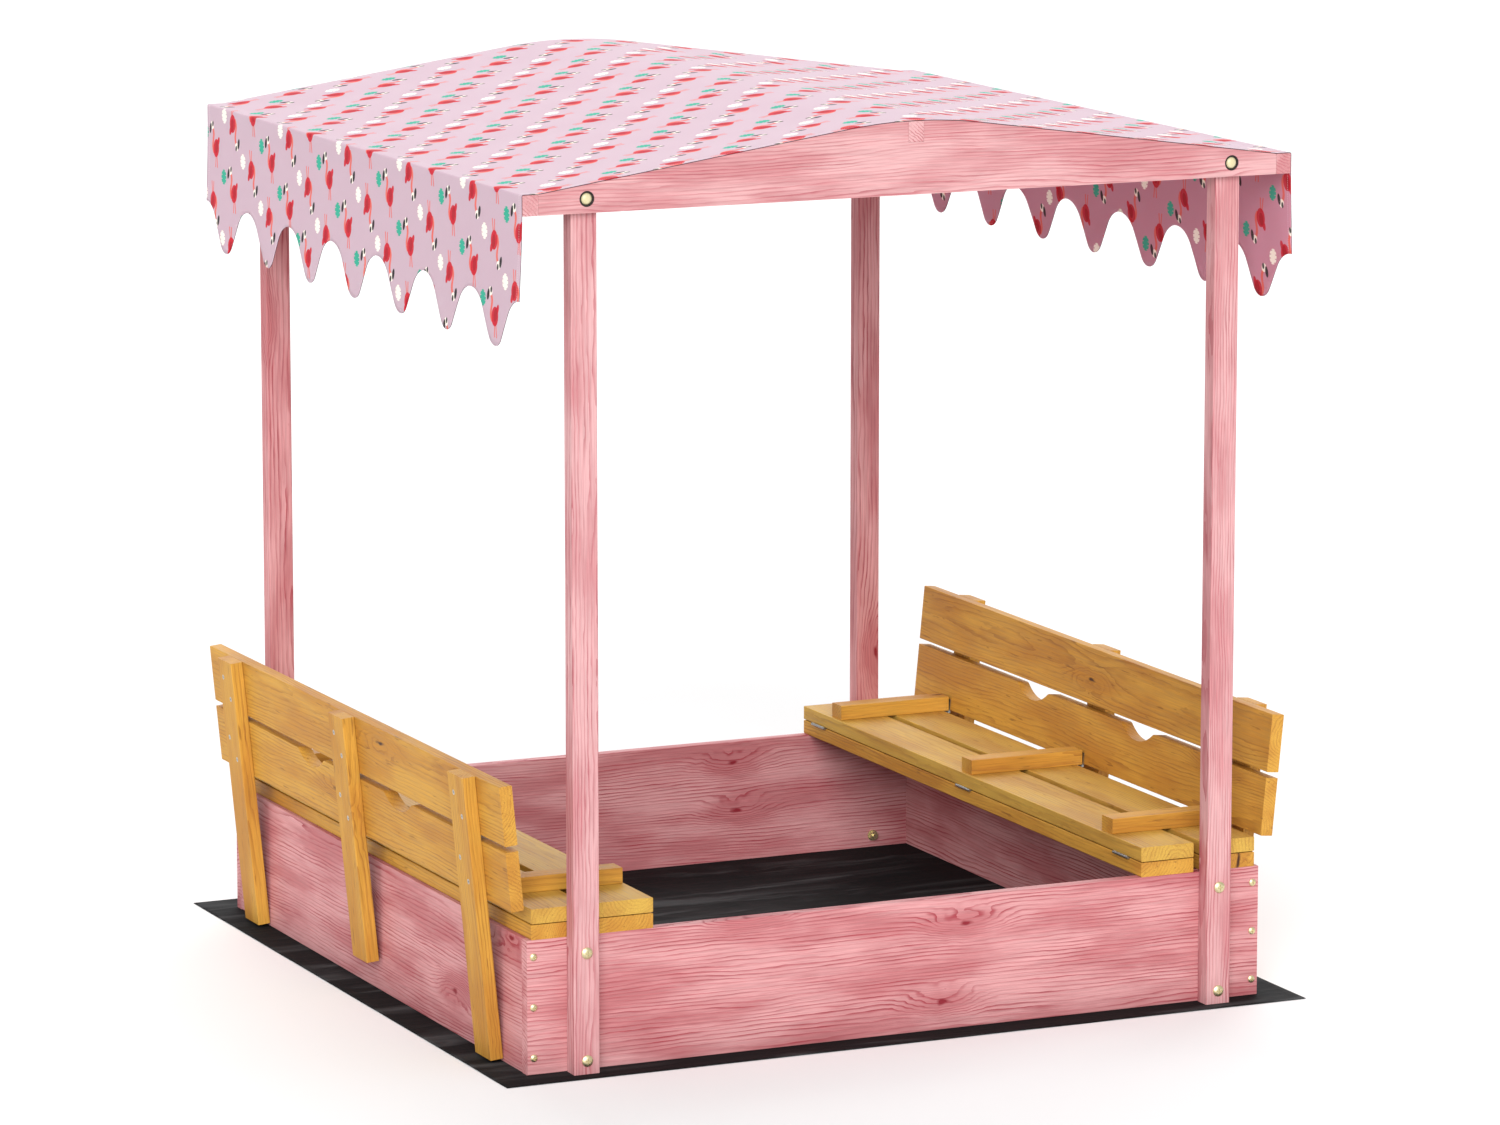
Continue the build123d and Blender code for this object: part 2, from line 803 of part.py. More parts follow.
roof_screw = wood_screw(roof_screw_length)
fastener_group(roof_screw, flattened(rail_screw_seats.values()) + ridge_screw_seats, "roof_screws")

seat_screw = wood_screw(seat_screw_length)
back_screw = wood_screw(back_screw_length)
for side_name, side in sides.items():
    seats = flattened(seat_screw_seats[side, band] for band in board_bands)
    fastener_group(seat_screw, seats, f"{side_name}_seat_screws")
    seats = flattened(
        back_screw_seats(side, board_middle, leg_y)
        for board_middle in back_board_middles
        for leg_y in cleat_places.values()
    )
    fastener_group(back_screw, seats, f"{side_name}_back_screws")

# ---------------------------------------------------------------- motion that the geometry gives
print(f"board width {board_width:.2f}, lean {math.degrees(lean):.3f} degrees")
print(f"fold pins x {fold_pin_x:.3f}, z {ground + fold_pin_z:.3f}; turn 180 degrees")
print(f"backrest pins x {back_pin_x:.3f}, z {ground + back_pin_z:.3f}; turn {90 - math.degrees(lean):.3f}")
print(f"roof crown z {ground + crown_top:.2f}, leg drop {leg_drop:.2f}, flank {math.degrees(flank_angle):.1f}")
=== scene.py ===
# %% [markdown]
# # A sandbox with a cloth roof and a cover of two fold-out benches
# The real thing is a square box of pink-stained boards. Four posts carry two gables, a ridge beam and
# two eave rails, and one printed cloth hangs over them. Each half of the cover is a small honey-coloured
# bench. All timber and metal already has its true shape and place in the measured frame, so this script
# gives it its finish, and makes what a frame of solids can't show: the cloth, the ground sheet and the
# small screws in the hinges.

# %% Load the measured frame
import json
import math
import random

import bmesh
import bpy
from mathutils import Matrix, Vector, noise


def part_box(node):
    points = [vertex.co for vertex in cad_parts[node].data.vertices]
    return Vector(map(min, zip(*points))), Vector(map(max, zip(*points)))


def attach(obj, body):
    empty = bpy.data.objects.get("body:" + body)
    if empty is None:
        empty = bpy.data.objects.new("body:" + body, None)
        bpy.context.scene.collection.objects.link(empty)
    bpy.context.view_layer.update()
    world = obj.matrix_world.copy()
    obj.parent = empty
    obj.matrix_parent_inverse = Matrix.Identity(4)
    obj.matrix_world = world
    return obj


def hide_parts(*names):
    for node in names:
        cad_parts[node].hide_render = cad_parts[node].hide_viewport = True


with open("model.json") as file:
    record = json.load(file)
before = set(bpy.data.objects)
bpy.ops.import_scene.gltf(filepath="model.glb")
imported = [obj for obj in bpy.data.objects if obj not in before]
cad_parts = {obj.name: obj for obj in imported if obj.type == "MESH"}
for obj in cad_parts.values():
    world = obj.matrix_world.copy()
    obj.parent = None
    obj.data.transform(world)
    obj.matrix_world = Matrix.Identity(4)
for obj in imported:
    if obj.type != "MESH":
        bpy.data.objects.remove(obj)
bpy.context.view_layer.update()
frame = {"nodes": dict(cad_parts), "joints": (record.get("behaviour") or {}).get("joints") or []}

nodes = frame["nodes"]

# %% [markdown]
# ## Camera and light
# Everything is in metres, with X to the right bench, Y to the back and Z up. A long lens from the front
# left, a little above the roof, keeps the posts almost parallel. The light is that of a white studio: an
# even dome all round and three wide soft windows, in front, behind and on the left. They stand low, because
# the roof would keep the light of high ones off the benches and out of the box.

# %% Camera
camera_data = bpy.data.cameras.new("studio_camera")
camera_data.sensor_width = 36
camera_data.lens = 166.64
camera_data.clip_end = 200
camera = bpy.data.objects.new("studio_camera", camera_data)
camera.location = (-4.3704, -9.6162, 2.4939)
camera.rotation_euler = (math.radians(79.909), 0, math.radians(-24.5816))
bpy.context.scene.collection.objects.link(camera)
bpy.context.scene.camera = camera
print("camera", tuple(round(x, 2) for x in camera.location), "lens", camera_data.lens, "mm")


# %% One function turns a colour as a painter writes it into the renderer's linear one
def colour(code):
    """'#rrggbb' in sRGB to linear red, green, blue and alpha."""
    parts = [int(code[i : i + 2], 16) / 255 for i in (1, 3, 5)]
    return (*(c / 12.92 if c <= 0.04045 else ((c + 0.055) / 1.055) ** 2.4 for c in parts), 1)


# %% One function adds a node
def add_node(tree, kind, inputs=None, out=0, **settings):
    """Add a node, fill its sockets with values or links, and give back one of its outputs."""
    node = tree.nodes.new(kind)
    for name, value in settings.items():
        setattr(node, name, value)
    for socket, value in (inputs or {}).items():
        if isinstance(value, bpy.types.NodeSocket):
            tree.links.new(value, node.inputs[socket])
        else:
            node.inputs[socket].default_value = value
    return node.outputs[out] if len(node.outputs) else node


def empty_material(name):
    """A material with an empty node tree, and the tree."""
    material = bpy.data.materials.new(name)
    material.use_nodes = True
    material.node_tree.nodes.clear()
    return material, material.node_tree


# %% Light
world = bpy.data.worlds.new("white_studio")
world.use_nodes = True
world.node_tree.nodes.clear()
dome = add_node(world.node_tree, "ShaderNodeBackground", {"Color": colour("#ffffff"), "Strength": 0.64})
add_node(world.node_tree, "ShaderNodeOutputWorld", {"Surface": dome})
bpy.context.scene.world = world

WINDOWS = (  # name, W/m2, width in degrees, and where it stands
    ("front_window", 2.85, 36, (-0.38, -0.82, 0.43)),
    ("back_window", 1.8, 50, (0.3, 0.68, 0.66)),
    ("left_window", 0.4, 30, (-0.9, -0.1, 0.42)),
)
for name, strength, width, place in WINDOWS:
    window = bpy.data.lights.new(name, "SUN")
    window.energy = strength
    window.angle = math.radians(width)
    window_object = bpy.data.objects.new(name, window)
    window_object.location = Vector(place) * 8
    window_object.rotation_euler = (-Vector(place)).to_track_quat("-Z", "Y").to_euler()
    bpy.context.scene.collection.objects.link(window_object)
    print(name, strength, "W/m2 from", round(math.degrees(math.asin(place[2]))), "degrees up")
bpy.context.scene.view_settings.view_transform = "Standard"

# %% Floor
floor_mesh = bpy.data.meshes.new("studio_floor")
shape = bmesh.new()
bmesh.ops.create_grid(shape, x_segments=1, y_segments=1, size=60)
shape.to_mesh(floor_mesh)
shape.free()
floor = bpy.data.objects.new("studio_floor", floor_mesh)
bpy.context.scene.collection.objects.link(floor)
floor_material, tree = empty_material("matt_white_paint_floor")
paint = add_node(tree, "ShaderNodeBsdfDiffuse", {"Color": colour("#ececec")})
add_node(tree, "ShaderNodeOutputMaterial", {"Surface": paint})
floor_mesh.materials.append(floor_material)

# %% [markdown]
# ## Stained softwood
# The boards are sawn from spruce and wiped with a thin stain. What the eye reads is a section through
# the tree: growth rings about 5 mm apart, pale early wood with a thin dark late-wood line, drawn out
# along the board and opening into arches where the saw ran near the heart. Round a knot the rings swell
# and the stain sinks in. An image of wood would repeat on every board. A solid pattern doesn't: each
# board here is placed in its own trunk, with the heart a few centimetres behind its face, so faces,
# edges and end grain agree.

# %% The stains: gables and rails took less rose than the walls, and seats less honey; the front posts get that paler rose and the back posts the walls' darker one
# early and deep are the wood between the rings where it took little stain and much, and late is the ring's
# own line. rings is their spacing in metres, and a higher knot_rarity leaves fewer knots.
STAINS = {
    "rose": {
        "early": "#cc9394", "deep": "#b46e71", "late": "#96323d", "knot": "#841f2b", "fleck": "#a4525b",
        "line_strength": 0.95, "fleck_strength": 0.25, "knot_rarity": 0.45, "rings": 0.0056,
    },
    "pale_rose": {
        "early": "#cb9c9d", "deep": "#b97c7f", "late": "#9c404b", "knot": "#8f2c38", "fleck": "#b0626b",
        "line_strength": 0.8, "fleck_strength": 0.2, "knot_rarity": 0.9, "rings": 0.0046,
    },
    "honey": {
        "early": "#c5933a", "deep": "#b47d2e", "late": "#875120", "knot": "#40200e", "fleck": "#6a3f1a",
        "line_strength": 0.55, "fleck_strength": 0.55, "knot_rarity": 0.62, "rings": 0.0050,
    },
    "pale_honey": {
        "early": "#c49d44", "deep": "#b4883a", "late": "#8c5925", "knot": "#4a2810", "fleck": "#74491e",
        "line_strength": 0.5, "fleck_strength": 0.5, "knot_rarity": 0.7, "rings": 0.0054,
    },
}
WAVE_PERIOD = 2 * math.pi / 20  # metres between the rings of a wave texture at scale 1


# %% Knots: one in some of the cells of an uneven grid over the board's face
def knots_on(tree, board, spacing, rarity):
    """How far the wood swells round a knot, and the knot's own dark core, both from 0 to 1."""
    cells = add_node(
        tree, "ShaderNodeMapping", {"Vector": board, "Scale": (1 / spacing[0], 1 / spacing[1], 1)}
    )
    wobble = add_node(tree, "ShaderNodeTexNoise", {"Vector": board, "Scale": 45, "Detail": 1}, out="Color")
    cells = add_node(
        tree, "ShaderNodeVectorMath", {0: wobble, 1: (0.07, 0.09, 0), 2: cells}, operation="MULTIPLY_ADD"
    )
    grid = {"Vector": cells, "Scale": 1.0, "Randomness": 0.9}
    distance = add_node(tree, "ShaderNodeTexVoronoi", grid, voronoi_dimensions="2D", out="Distance")
    chance = add_node(tree, "ShaderNodeTexVoronoi", grid, voronoi_dimensions="2D", out="Color")
    has_knot = add_node(tree, "ShaderNodeMath", {0: chance, 1: rarity}, operation="GREATER_THAN")
    # The wood swells as far as 0.3 of a cell from the knot, and the core is a tenth of that.
    swelling = add_node(
        tree, "ShaderNodeMapRange",
        {"Value": distance, "From Min": 0.30, "From Max": 0.0, "To Min": 0.0, "To Max": 1.0},
        interpolation_type="SMOOTHERSTEP",
    )
    core = add_node(
        tree, "ShaderNodeMapRange",
        {"Value": distance, "From Min": 0.040, "From Max": 0.016, "To Min": 0.0, "To Max": 1.0},
    )
    return [
        add_node(tree, "ShaderNodeMath", {0: share, 1: has_knot}, operation="MULTIPLY")
        for share in (swelling, core)
    ]


# %% Growth rings: they wander slowly along the trunk, and go round each knot
KNOT_SWIRL = 22.0  # how far a knot pushes the rings, in radians of their wave


def late_wood(tree, board, swelling, spacing):
    """The thin dark line at the end of each year's growth, from 0 to 1."""
    slow = add_node(tree, "ShaderNodeMapping", {"Vector": board, "Scale": (1.8, 8, 8)})
    drift = add_node(tree, "ShaderNodeTexNoise", {"Vector": slow, "Scale": 1, "Detail": 2}, out="Color")
    bent = add_node(
        tree, "ShaderNodeVectorMath", {0: drift, 1: (0, 0.03, 0.03), 2: board}, operation="MULTIPLY_ADD"
    )
    bent = add_node(tree, "ShaderNodeMapping", {"Vector": bent, "Scale": (0.16, 1, 1)})
    push = add_node(tree, "ShaderNodeMath", {0: swelling, 1: KNOT_SWIRL}, operation="MULTIPLY")
    rings = add_node(
        tree, "ShaderNodeTexWave",
        {
            "Vector": bent, "Scale": WAVE_PERIOD / spacing, "Distortion": 7.0, "Detail": 3.5,
            "Detail Scale": 0.6, "Detail Roughness": 0.62, "Phase Offset": push,
        },
        out="Fac", wave_type="RINGS", rings_direction="X", wave_profile="SAW",
    )
    return add_node(
        tree, "ShaderNodeMapRange",
        {"Value": rings, "From Min": 0.5, "From Max": 0.98, "To Min": 0.0, "To Max": 1.0},
        interpolation_type="SMOOTHSTEP",
    )


# %% A material for one board, placed in its own trunk
def stained_spruce(name, stain, along, across, heart, knots):
    """along and across are the board's length and width as directions, heart the trunk's middle in the
    board's own (length, width, thickness), and knots their usual distance along and across."""
    tones = STAINS[stain]
    along, across = Vector(along).normalized(), Vector(across).normalized()
    turn = Matrix((along, across, along.cross(across)))
    material, tree = empty_material(name)
    place = add_node(tree, "ShaderNodeTexCoord", out="Object")
    board = add_node(
        tree, "ShaderNodeMapping",
        {"Vector": place, "Rotation": turn.to_euler(), "Location": -Vector(heart)},
    )
    swelling, core = knots_on(tree, board, knots, tones["knot_rarity"])
    late = late_wood(tree, board, swelling, tones["rings"])

    # Fibres in bundles 1.6 mm wide, patches of stain 45 mm wide, and dark flecks up to 45 mm long.
    fibre_place = add_node(tree, "ShaderNodeMapping", {"Vector": board, "Scale": (16, 620, 620)})
    fibres = add_node(tree, "ShaderNodeTexNoise", {"Vector": fibre_place, "Scale": 1, "Detail": 3})
    cloud_place = add_node(tree, "ShaderNodeMapping", {"Vector": board, "Scale": (5, 22, 22)})
    clouds = add_node(tree, "ShaderNodeTexNoise", {"Vector": cloud_place, "Scale": 1, "Detail": 5})
    cloud_share = add_node(
        tree, "ShaderNodeMapRange",
        {"Value": clouds, "From Min": 0.36, "From Max": 0.68, "To Min": 0.0, "To Max": 1.0},
        interpolation_type="SMOOTHSTEP",
    )
    cloud_share = add_node(
        tree, "ShaderNodeMath", {0: cloud_share, 1: swelling}, operation="ADD", use_clamp=True
    )
    fleck_place = add_node(tree, "ShaderNodeMapping", {"Vector": board, "Scale": (22, 210, 210)})
    flecks = add_node(tree, "ShaderNodeTexNoise", {"Vector": fleck_place, "Scale": 1, "Detail": 2})
    fleck_share = add_node(
        tree, "ShaderNodeMapRange",
        {
            "Value": flecks, "From Min": 0.66, "From Max": 0.74,
            "To Min": 0.0, "To Max": tones["fleck_strength"],
        },
    )

    # A late-wood line is strong in one place and gone in the next, as the fibres take the stain.
    take_place = add_node(tree, "ShaderNodeMapping", {"Vector": board, "Scale": (6, 55, 55)})
    take = add_node(tree, "ShaderNodeTexNoise", {"Vector": take_place, "Scale": 1, "Detail": 3})
    take = add_node(
        tree, "ShaderNodeMapRange",
        {
            "Value": take, "From Min": 0.36, "From Max": 0.64,
            "To Min": 0.12, "To Max": tones["line_strength"],
        },
    )
    line_share = add_node(tree, "ShaderNodeMath", {0: late, 1: take}, operation="MULTIPLY")
    tone = colour(tones["early"])
    for share, code in (
        (cloud_share, tones["deep"]), (line_share, tones["late"]),
        (fleck_share, tones["fleck"]), (core, tones["knot"]),
    ):
        tone = add_node(
            tree, "ShaderNodeMix", {0: share, 6: tone, 7: colour(code)}, out=2, data_type="RGBA"
        )
    shade = add_node(
        tree, "ShaderNodeMapRange",
        {"Value": fibres, "From Min": 0.3, "From Max": 0.7, "To Min": 0.86, "To Max": 1.12},
    )
    tone = add_node(tree, "ShaderNodeVectorMath", {0: tone, 3: shade}, operation="SCALE")

    relief = add_node(tree, "ShaderNodeMath", {0: late, 1: 0.5, 2: fibres}, operation="MULTIPLY_ADD")
    bump = add_node(tree, "ShaderNodeBump", {"Height": relief, "Strength": 0.35, "Distance": 0.0005})
    rough = add_node(
        tree, "ShaderNodeMapRange",
        {"Value": fibres, "From Min": 0.3, "From Max": 0.7, "To Min": 0.5, "To Max": 0.68},
    )
    shader = add_node(
        tree, "ShaderNodeBsdfPrincipled",
        {"Base Color": tone, "Roughness": rough, "IOR": 1.45, "Specular IOR Level": 0.35, "Normal": bump},
    )
    add_node(tree, "ShaderNodeOutputMaterial", {"Surface": shader})
    return material


# %% Which way each piece was sawn
side_of = {"left": -1, "right": 1}
joints = {joint["name"]: joint for joint in frame["joints"]}
lean = math.radians(90 - joints["left_backrest_fold"]["range_deg"][1])
up_the_back = {
    side: Vector((sign * math.sin(lean), 0, math.cos(lean))) for side, sign in side_of.items()
}
X, Y, Z = Vector((1, 0, 0)), Vector((0, 1, 0)), Vector((0, 0, 1))


def sawn(name):
    """A timber piece's stain, the direction of its length, and the direction of its width."""
    side = name.split("_")[0]
    if "back_board" in name:
        return "honey", Y, up_the_back[side]
    if "back_leg" in name:
        return "honey", up_the_back[side], Y
    if "cleat" in name:
        return "honey", X, Y
    if "seat_board" in name:
        return "pale_honey", Y, X
    if "base_board" in name:
        return "honey", Y, X
    # The back posts get the walls' darker, redder rose and the front posts the paler one.
    if "post_b" in name:
        return "rose", Z, X
    if "post" in name:
        return "pale_rose", Z, X
    if "gable" in name:
        return "pale_rose", X, Z
    if name in ("left_wall", "right_wall"):
        return "rose", Y, Z
    if "rail" in name or "ridge" in name:
        return "pale_rose", Y, Z
    return "rose", X, Z


TIMBER = ("_wall", "_gable", "_rail", "_beam", "post_", "_board_", "_cleat_", "_leg_")
METAL = ("screw", "bolt", "nut", "washer", "hinge")
timber = [
    name for name in nodes
    if any(word in name for word in TIMBER) and not any(word in name for word in METAL)
]

# %% Saw them all: every board gets its own place in a trunk
for name in sorted(timber):
    stain, along, across = sawn(name)
    low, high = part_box(name)
    middle = (low + high) / 2
    thick = along.cross(across)
    chance = random.Random(name)
    wide = 0.2 if "wall" in name else 0.09
    # A few metres up or down the trunk, off the board's middle line, and 18 to 40 mm behind its face.
    heart = Vector((
        middle.dot(along) + chance.uniform(-3, 3),
        middle.dot(across) + chance.choice((-1, 1)) * chance.uniform(0.25, 0.75) * wide,
        middle.dot(thick) + chance.choice((-1, 1)) * chance.uniform(0.018, 0.04),
    ))
    knots = (0.42, 0.10) if "honey" in stain else (0.36, 0.13)
    nodes[name].data.materials.clear()
    nodes[name].data.materials.append(
        stained_spruce(f"{stain}_stained_spruce_{name}", stain, along, across, heart, knots)
    )
print(len(timber), "boards sawn")

# %% [markdown]
# ## Screws, bolts and hinges
# Outdoor fasteners are steel with a thin yellow-chromated zinc skin, dull and a little uneven, so the
# finish is a rough metal whose colour drifts between straw and grey. The roof bolts have heads dipped in
# cream lacquer. The hinges are bright zinc.


# %% Zinc finishes
def zinc_plate(name, straw, grey, roughness):
    """Zinc-plated steel. The clouds in its colour are 3 mm wide, and fine scratches rough it up."""
    material, tree = empty_material(name)
    place = add_node(tree, "ShaderNodeTexCoord", out="Object")
    clouds = add_node(tree, "ShaderNodeTexNoise", {"Vector": place, "Scale": 330, "Detail": 3})
    scratches = add_node(
        tree, "ShaderNodeTexNoise", {"Vector": place, "Scale": 1400, "Detail": 2, "Distortion": 1.5}
    )
    tone = add_node(
        tree, "ShaderNodeMix", {0: clouds, 6: colour(straw), 7: colour(grey)}, out=2, data_type="RGBA"
    )
    rough = add_node(
        tree, "ShaderNodeMapRange",
        {
            "Value": scratches, "From Min": 0.3, "From Max": 0.7,
            "To Min": roughness - 0.1, "To Max": roughness + 0.12,
        },
    )
    bump = add_node(tree, "ShaderNodeBump", {"Height": scratches, "Strength": 0.25, "Distance": 0.0001})
    shader = add_node(
        tree, "ShaderNodeBsdfPrincipled",
        {"Base Color": tone, "Metallic": 1.0, "Roughness": rough, "Normal": bump},
    )
    add_node(tree, "ShaderNodeOutputMaterial", {"Surface": shader})
    return material


straw_zinc = zinc_plate("yellow_chromated_zinc", "#efe3b4", "#c9c09a", 0.42)
bright_zinc = zinc_plate("bright_zinc_plate", "#b3b3b0", "#838483", 0.36)
grey_zinc = zinc_plate("grey_zinc_plate", "#cfcdc6", "#a5a39c", 0.4)

# %% Cream lacquer, which the roof bolts' heads were dipped in: it runs a little and dries semi-gloss
cream_lacquer, tree = empty_material("cream_dipped_bolt_lacquer")
place = add_node(tree, "ShaderNodeTexCoord", out="Object")
drips = add_node(tree, "ShaderNodeTexNoise", {"Vector": place, "Scale": 160, "Detail": 2})
tone = add_node(
    tree, "ShaderNodeMix", {0: drips, 6: colour("#d3caa6"), 7: colour("#bfb386")}, out=2, data_type="RGBA"
)
bump = add_node(tree, "ShaderNodeBump", {"Height": drips, "Strength": 0.2, "Distance": 0.0004})
shader = add_node(
    tree, "ShaderNodeBsdfPrincipled",
    {"Base Color": tone, "Roughness": 0.32, "IOR": 1.5, "Normal": bump},
)
add_node(tree, "ShaderNodeOutputMaterial", {"Surface": shader})

# %% Give the metal its finish
for name, node in nodes.items():
    if name in timber or name in ("canopy_cover", "ground_sheet"):
        continue
    if name == "gable_bolts":
        finish = cream_lacquer
    elif "back_screws" in name:
        finish = grey_zinc
    elif "hinge" in name:
        finish = bright_zinc
    else:
        finish = straw_zinc
    node.data.materials.clear()
    node.data.materials.append(finish)
print("metal:", len(nodes) - len(timber) - 2, "nodes")

# %% [markdown]
# ## The canopy
# One piece of canvas, cut flat with seven scallops along each side edge, lies over the ridge and hangs
# over the eave rails. It is made the way it is sewn: a flat grid is the cut cloth, its flat places are
# kept as the print's coordinates, and then every point is laid over the line of the roof. So the birds
# bend over the eaves with the cloth and nothing stretches. A cloth simulation would only add noise to
# canvas that is pulled this tight, so the small sag between the gables and the slow waves in the hanging
# edges are given.

# %% The line of the roof
THICKNESS = 0.0009
LIFT = 0.0003 + THICKNESS / 2  # the cloth's middle above the timber
SLOPE = math.radians(8.1)
CROWN, ROUNDING = 0.75, 0.0015  # radii of the gables' top and of the rails' upper edge
rail_low, rail_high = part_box("right_eave_rail")
roof_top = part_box("front_gable")[1].z + LIFT
cloth_end = rail_high.y
crown_radius = CROWN + LIFT
eave_radius = ROUNDING + LIFT
kink_x = rail_low.x + LIFT * math.tan(SLOPE / 2)
crown_length = crown_radius * SLOPE
slope_length = (kink_x - crown_radius * math.sin(SLOPE)) / math.cos(SLOPE)
flat_length = rail_high.x - ROUNDING - kink_x
bend_length = eave_radius * math.pi / 2
edge_starts = crown_length + slope_length + flat_length + bend_length
edge_z = rail_high.z - ROUNDING


def roof_line(s):
    """x and z of the cloth, and its outward direction, s metres from the ridge along the cloth."""
    way, s = (1 if s >= 0 else -1), abs(s)
    if s <= crown_length:
        angle = s / crown_radius
        x, z = crown_radius * math.sin(angle), roof_top - crown_radius * (1 - math.cos(angle))
    elif s <= crown_length + slope_length:
        angle, s = SLOPE, s - crown_length
        x = crown_radius * math.sin(SLOPE) + s * math.cos(SLOPE)
        z = roof_top - crown_radius * (1 - math.cos(SLOPE)) - s * math.sin(SLOPE)
    elif s <= crown_length + slope_length + flat_length:
        angle, x, z = 0, kink_x + s - crown_length - slope_length, rail_high.z + LIFT
    elif s <= edge_starts:
        angle = (s - edge_starts + bend_length) / eave_radius
        x = rail_high.x - ROUNDING + eave_radius * math.sin(angle)
        z = edge_z + eave_radius * math.cos(angle)
    else:
        angle, x, z = math.pi / 2, rail_high.x + LIFT, edge_z - (s - edge_starts)
    return Vector((way * x, 0, z)), Vector((way * math.sin(angle), 0, math.cos(angle)))


print("cloth from ridge to eave", round(edge_starts * 1000), "mm, eave at z", round(edge_z, 4))

# %% The scalloped edge: round tips, round arches, straight flanks that meet both smoothly
ARCHES_BELOW_EAVE, SCALLOP_DEPTH = 0.151, 0.0745
TIP_RADIUS, ARCH_RADIUS = 0.028, 0.052
SCALLOPS = 7
pitch = 2 * cloth_end / SCALLOPS
radii = TIP_RADIUS + ARCH_RADIUS
flank = math.asin(radii / math.hypot(pitch / 2, radii - SCALLOP_DEPTH)) - math.atan2(
    radii - SCALLOP_DEPTH, pitch / 2
)


def hanging_length(y):
    """How far the cloth hangs below the eave at this place along it."""
    from_arch = abs((y + cloth_end + pitch / 2) % pitch - pitch / 2)
    from_tip = pitch / 2 - from_arch
    arch = ARCHES_BELOW_EAVE - ROUNDING
    if from_arch <= ARCH_RADIUS * math.sin(flank):
        return arch + ARCH_RADIUS - math.sqrt(ARCH_RADIUS**2 - from_arch**2)
    if from_tip <= TIP_RADIUS * math.sin(flank):
        return arch + SCALLOP_DEPTH - TIP_RADIUS + math.sqrt(TIP_RADIUS**2 - from_tip**2)
    start = ARCH_RADIUS * math.sin(flank)
    return arch + ARCH_RADIUS * (1 - math.cos(flank)) + (from_arch - start) * math.tan(flank)


# %% Where the rows of the grid lie on the cut cloth, as shares of each stretch
stretches = [
    (0, crown_length, 8), (crown_length, crown_length + slope_length, 20),
    (crown_length + slope_length, edge_starts - bend_length, 3), (edge_starts - bend_length, edge_starts, 4),
]
half_rows = [
    start + (end - start) * i / count for start, end, count in stretches for i in range(count)
]
EDGE_ROWS = 24
ROWS = 2 * (len(half_rows) + EDGE_ROWS)
COLUMNS = SCALLOPS * 36


def flat_place(row, y):
    """Distance from the ridge of a row of the grid, which in the hanging edge follows the scallops."""
    step = abs(row - ROWS // 2)
    way = 1 if row >= ROWS // 2 else -1
    if step < len(half_rows):
        return way * half_rows[step]
    return way * (edge_starts + hanging_length(y) * (step - len(half_rows)) / EDGE_ROWS)


# %% Lay the cloth
SAG, WRINKLE = 0.0045, 0.0025  # metres down between the gables
FLARE, WAVE, RIPPLE = 0.0045, 0.0035, 0.0012  # metres outwards at the hanging edge
canopy_mesh = bpy.data.meshes.new("canopy_cloth")
cloth = bmesh.new()
bmesh.ops.create_grid(cloth, x_segments=ROWS, y_segments=COLUMNS, size=0.5)
flat = {}
for v in cloth.verts:
    y = v.co.y * 2 * cloth_end
    flat[v] = (flat_place(round((v.co.x + 0.5) * ROWS), y), y)
print_map = cloth.loops.layers.uv.new("cut_cloth")
for face in cloth.faces:
    for loop in face.loops:
        loop[print_map].uv = flat[loop.vert]


def ease(x, low, high):
    """0 below low, 1 above high, and a smooth step between them."""
    t = min(max((x - low) / (high - low), 0), 1)
    return t * t * (3 - 2 * t)


for v in cloth.verts:
    s, y = flat[v]
    place, outward = roof_line(s)
    place.y = y
    reach = abs(s)
    if reach > edge_starts:
        # Hanging: slow waves grow towards the free edge, and the tips curl a little.
        hang = reach - edge_starts
        grow = ease(hang, 0.02, 0.22)
        wave = noise.noise(Vector((y * 5.2, math.copysign(3, s), hang * 2)))
        ripple = noise.noise(Vector((y * 17, math.copysign(7, s), hang * 5)))
        place += outward * grow * (WAVE * wave + RIPPLE * ripple + FLARE)
    else:
        # Between gables, ridge and rails the canvas sags a few millimetres.
        free = ease(cloth_end - abs(y), 0.014, 0.16)
        free *= ease(reach, 0.02, 0.14) * ease(edge_starts - reach, 0.03, 0.13)
        wrinkle = noise.noise(Vector((s * 4, y * 9, 1.7)))
        place -= outward * free * (SAG + WRINKLE * wrinkle)
    v.co = place
bmesh.ops.recalc_face_normals(cloth, faces=cloth.faces)
cloth.to_mesh(canopy_mesh)
cloth.free()
for face in canopy_mesh.polygons:
    face.use_smooth = True
canopy = bpy.data.objects.new("canopy_cloth", canopy_mesh)
bpy.context.scene.collection.objects.link(canopy)
up = sum(p.normal.z * p.area for p in canopy_mesh.polygons)
print(len(canopy_mesh.polygons), "faces, facing", "up" if up > 0 else "down")

# %% [markdown]
# ## The print on the canopy
# The canvas is screen printed in flat colours: wading birds, every other one upside down so that the
# cloth has no wrong way up, with a leaf between them. Each shape is a few ovals and one bent line in the
# cloth's own flat coordinates, so the print follows the cloth over the ridge and down the valance. All
# birds are one bird: the cloth is divided into cells, and each cell's place is turned to its bird.

# %% Shapes that a screen prints
CELL_ALONG, CELL_ACROSS = 0.082, 0.096  # metres of cloth for one bird
BIRD_SCALE = 1.08
INK_BORDER = 0.0006  # metres over which ink fades out on canvas
INKS = {
    "teal": "#1f9a80", "cream": "#e8dfd2", "coral": "#cf5c50", "crimson": "#b60a22",
    "deep_crimson": "#9c081b", "black": "#141011", "thread": "#ead6dd",
}


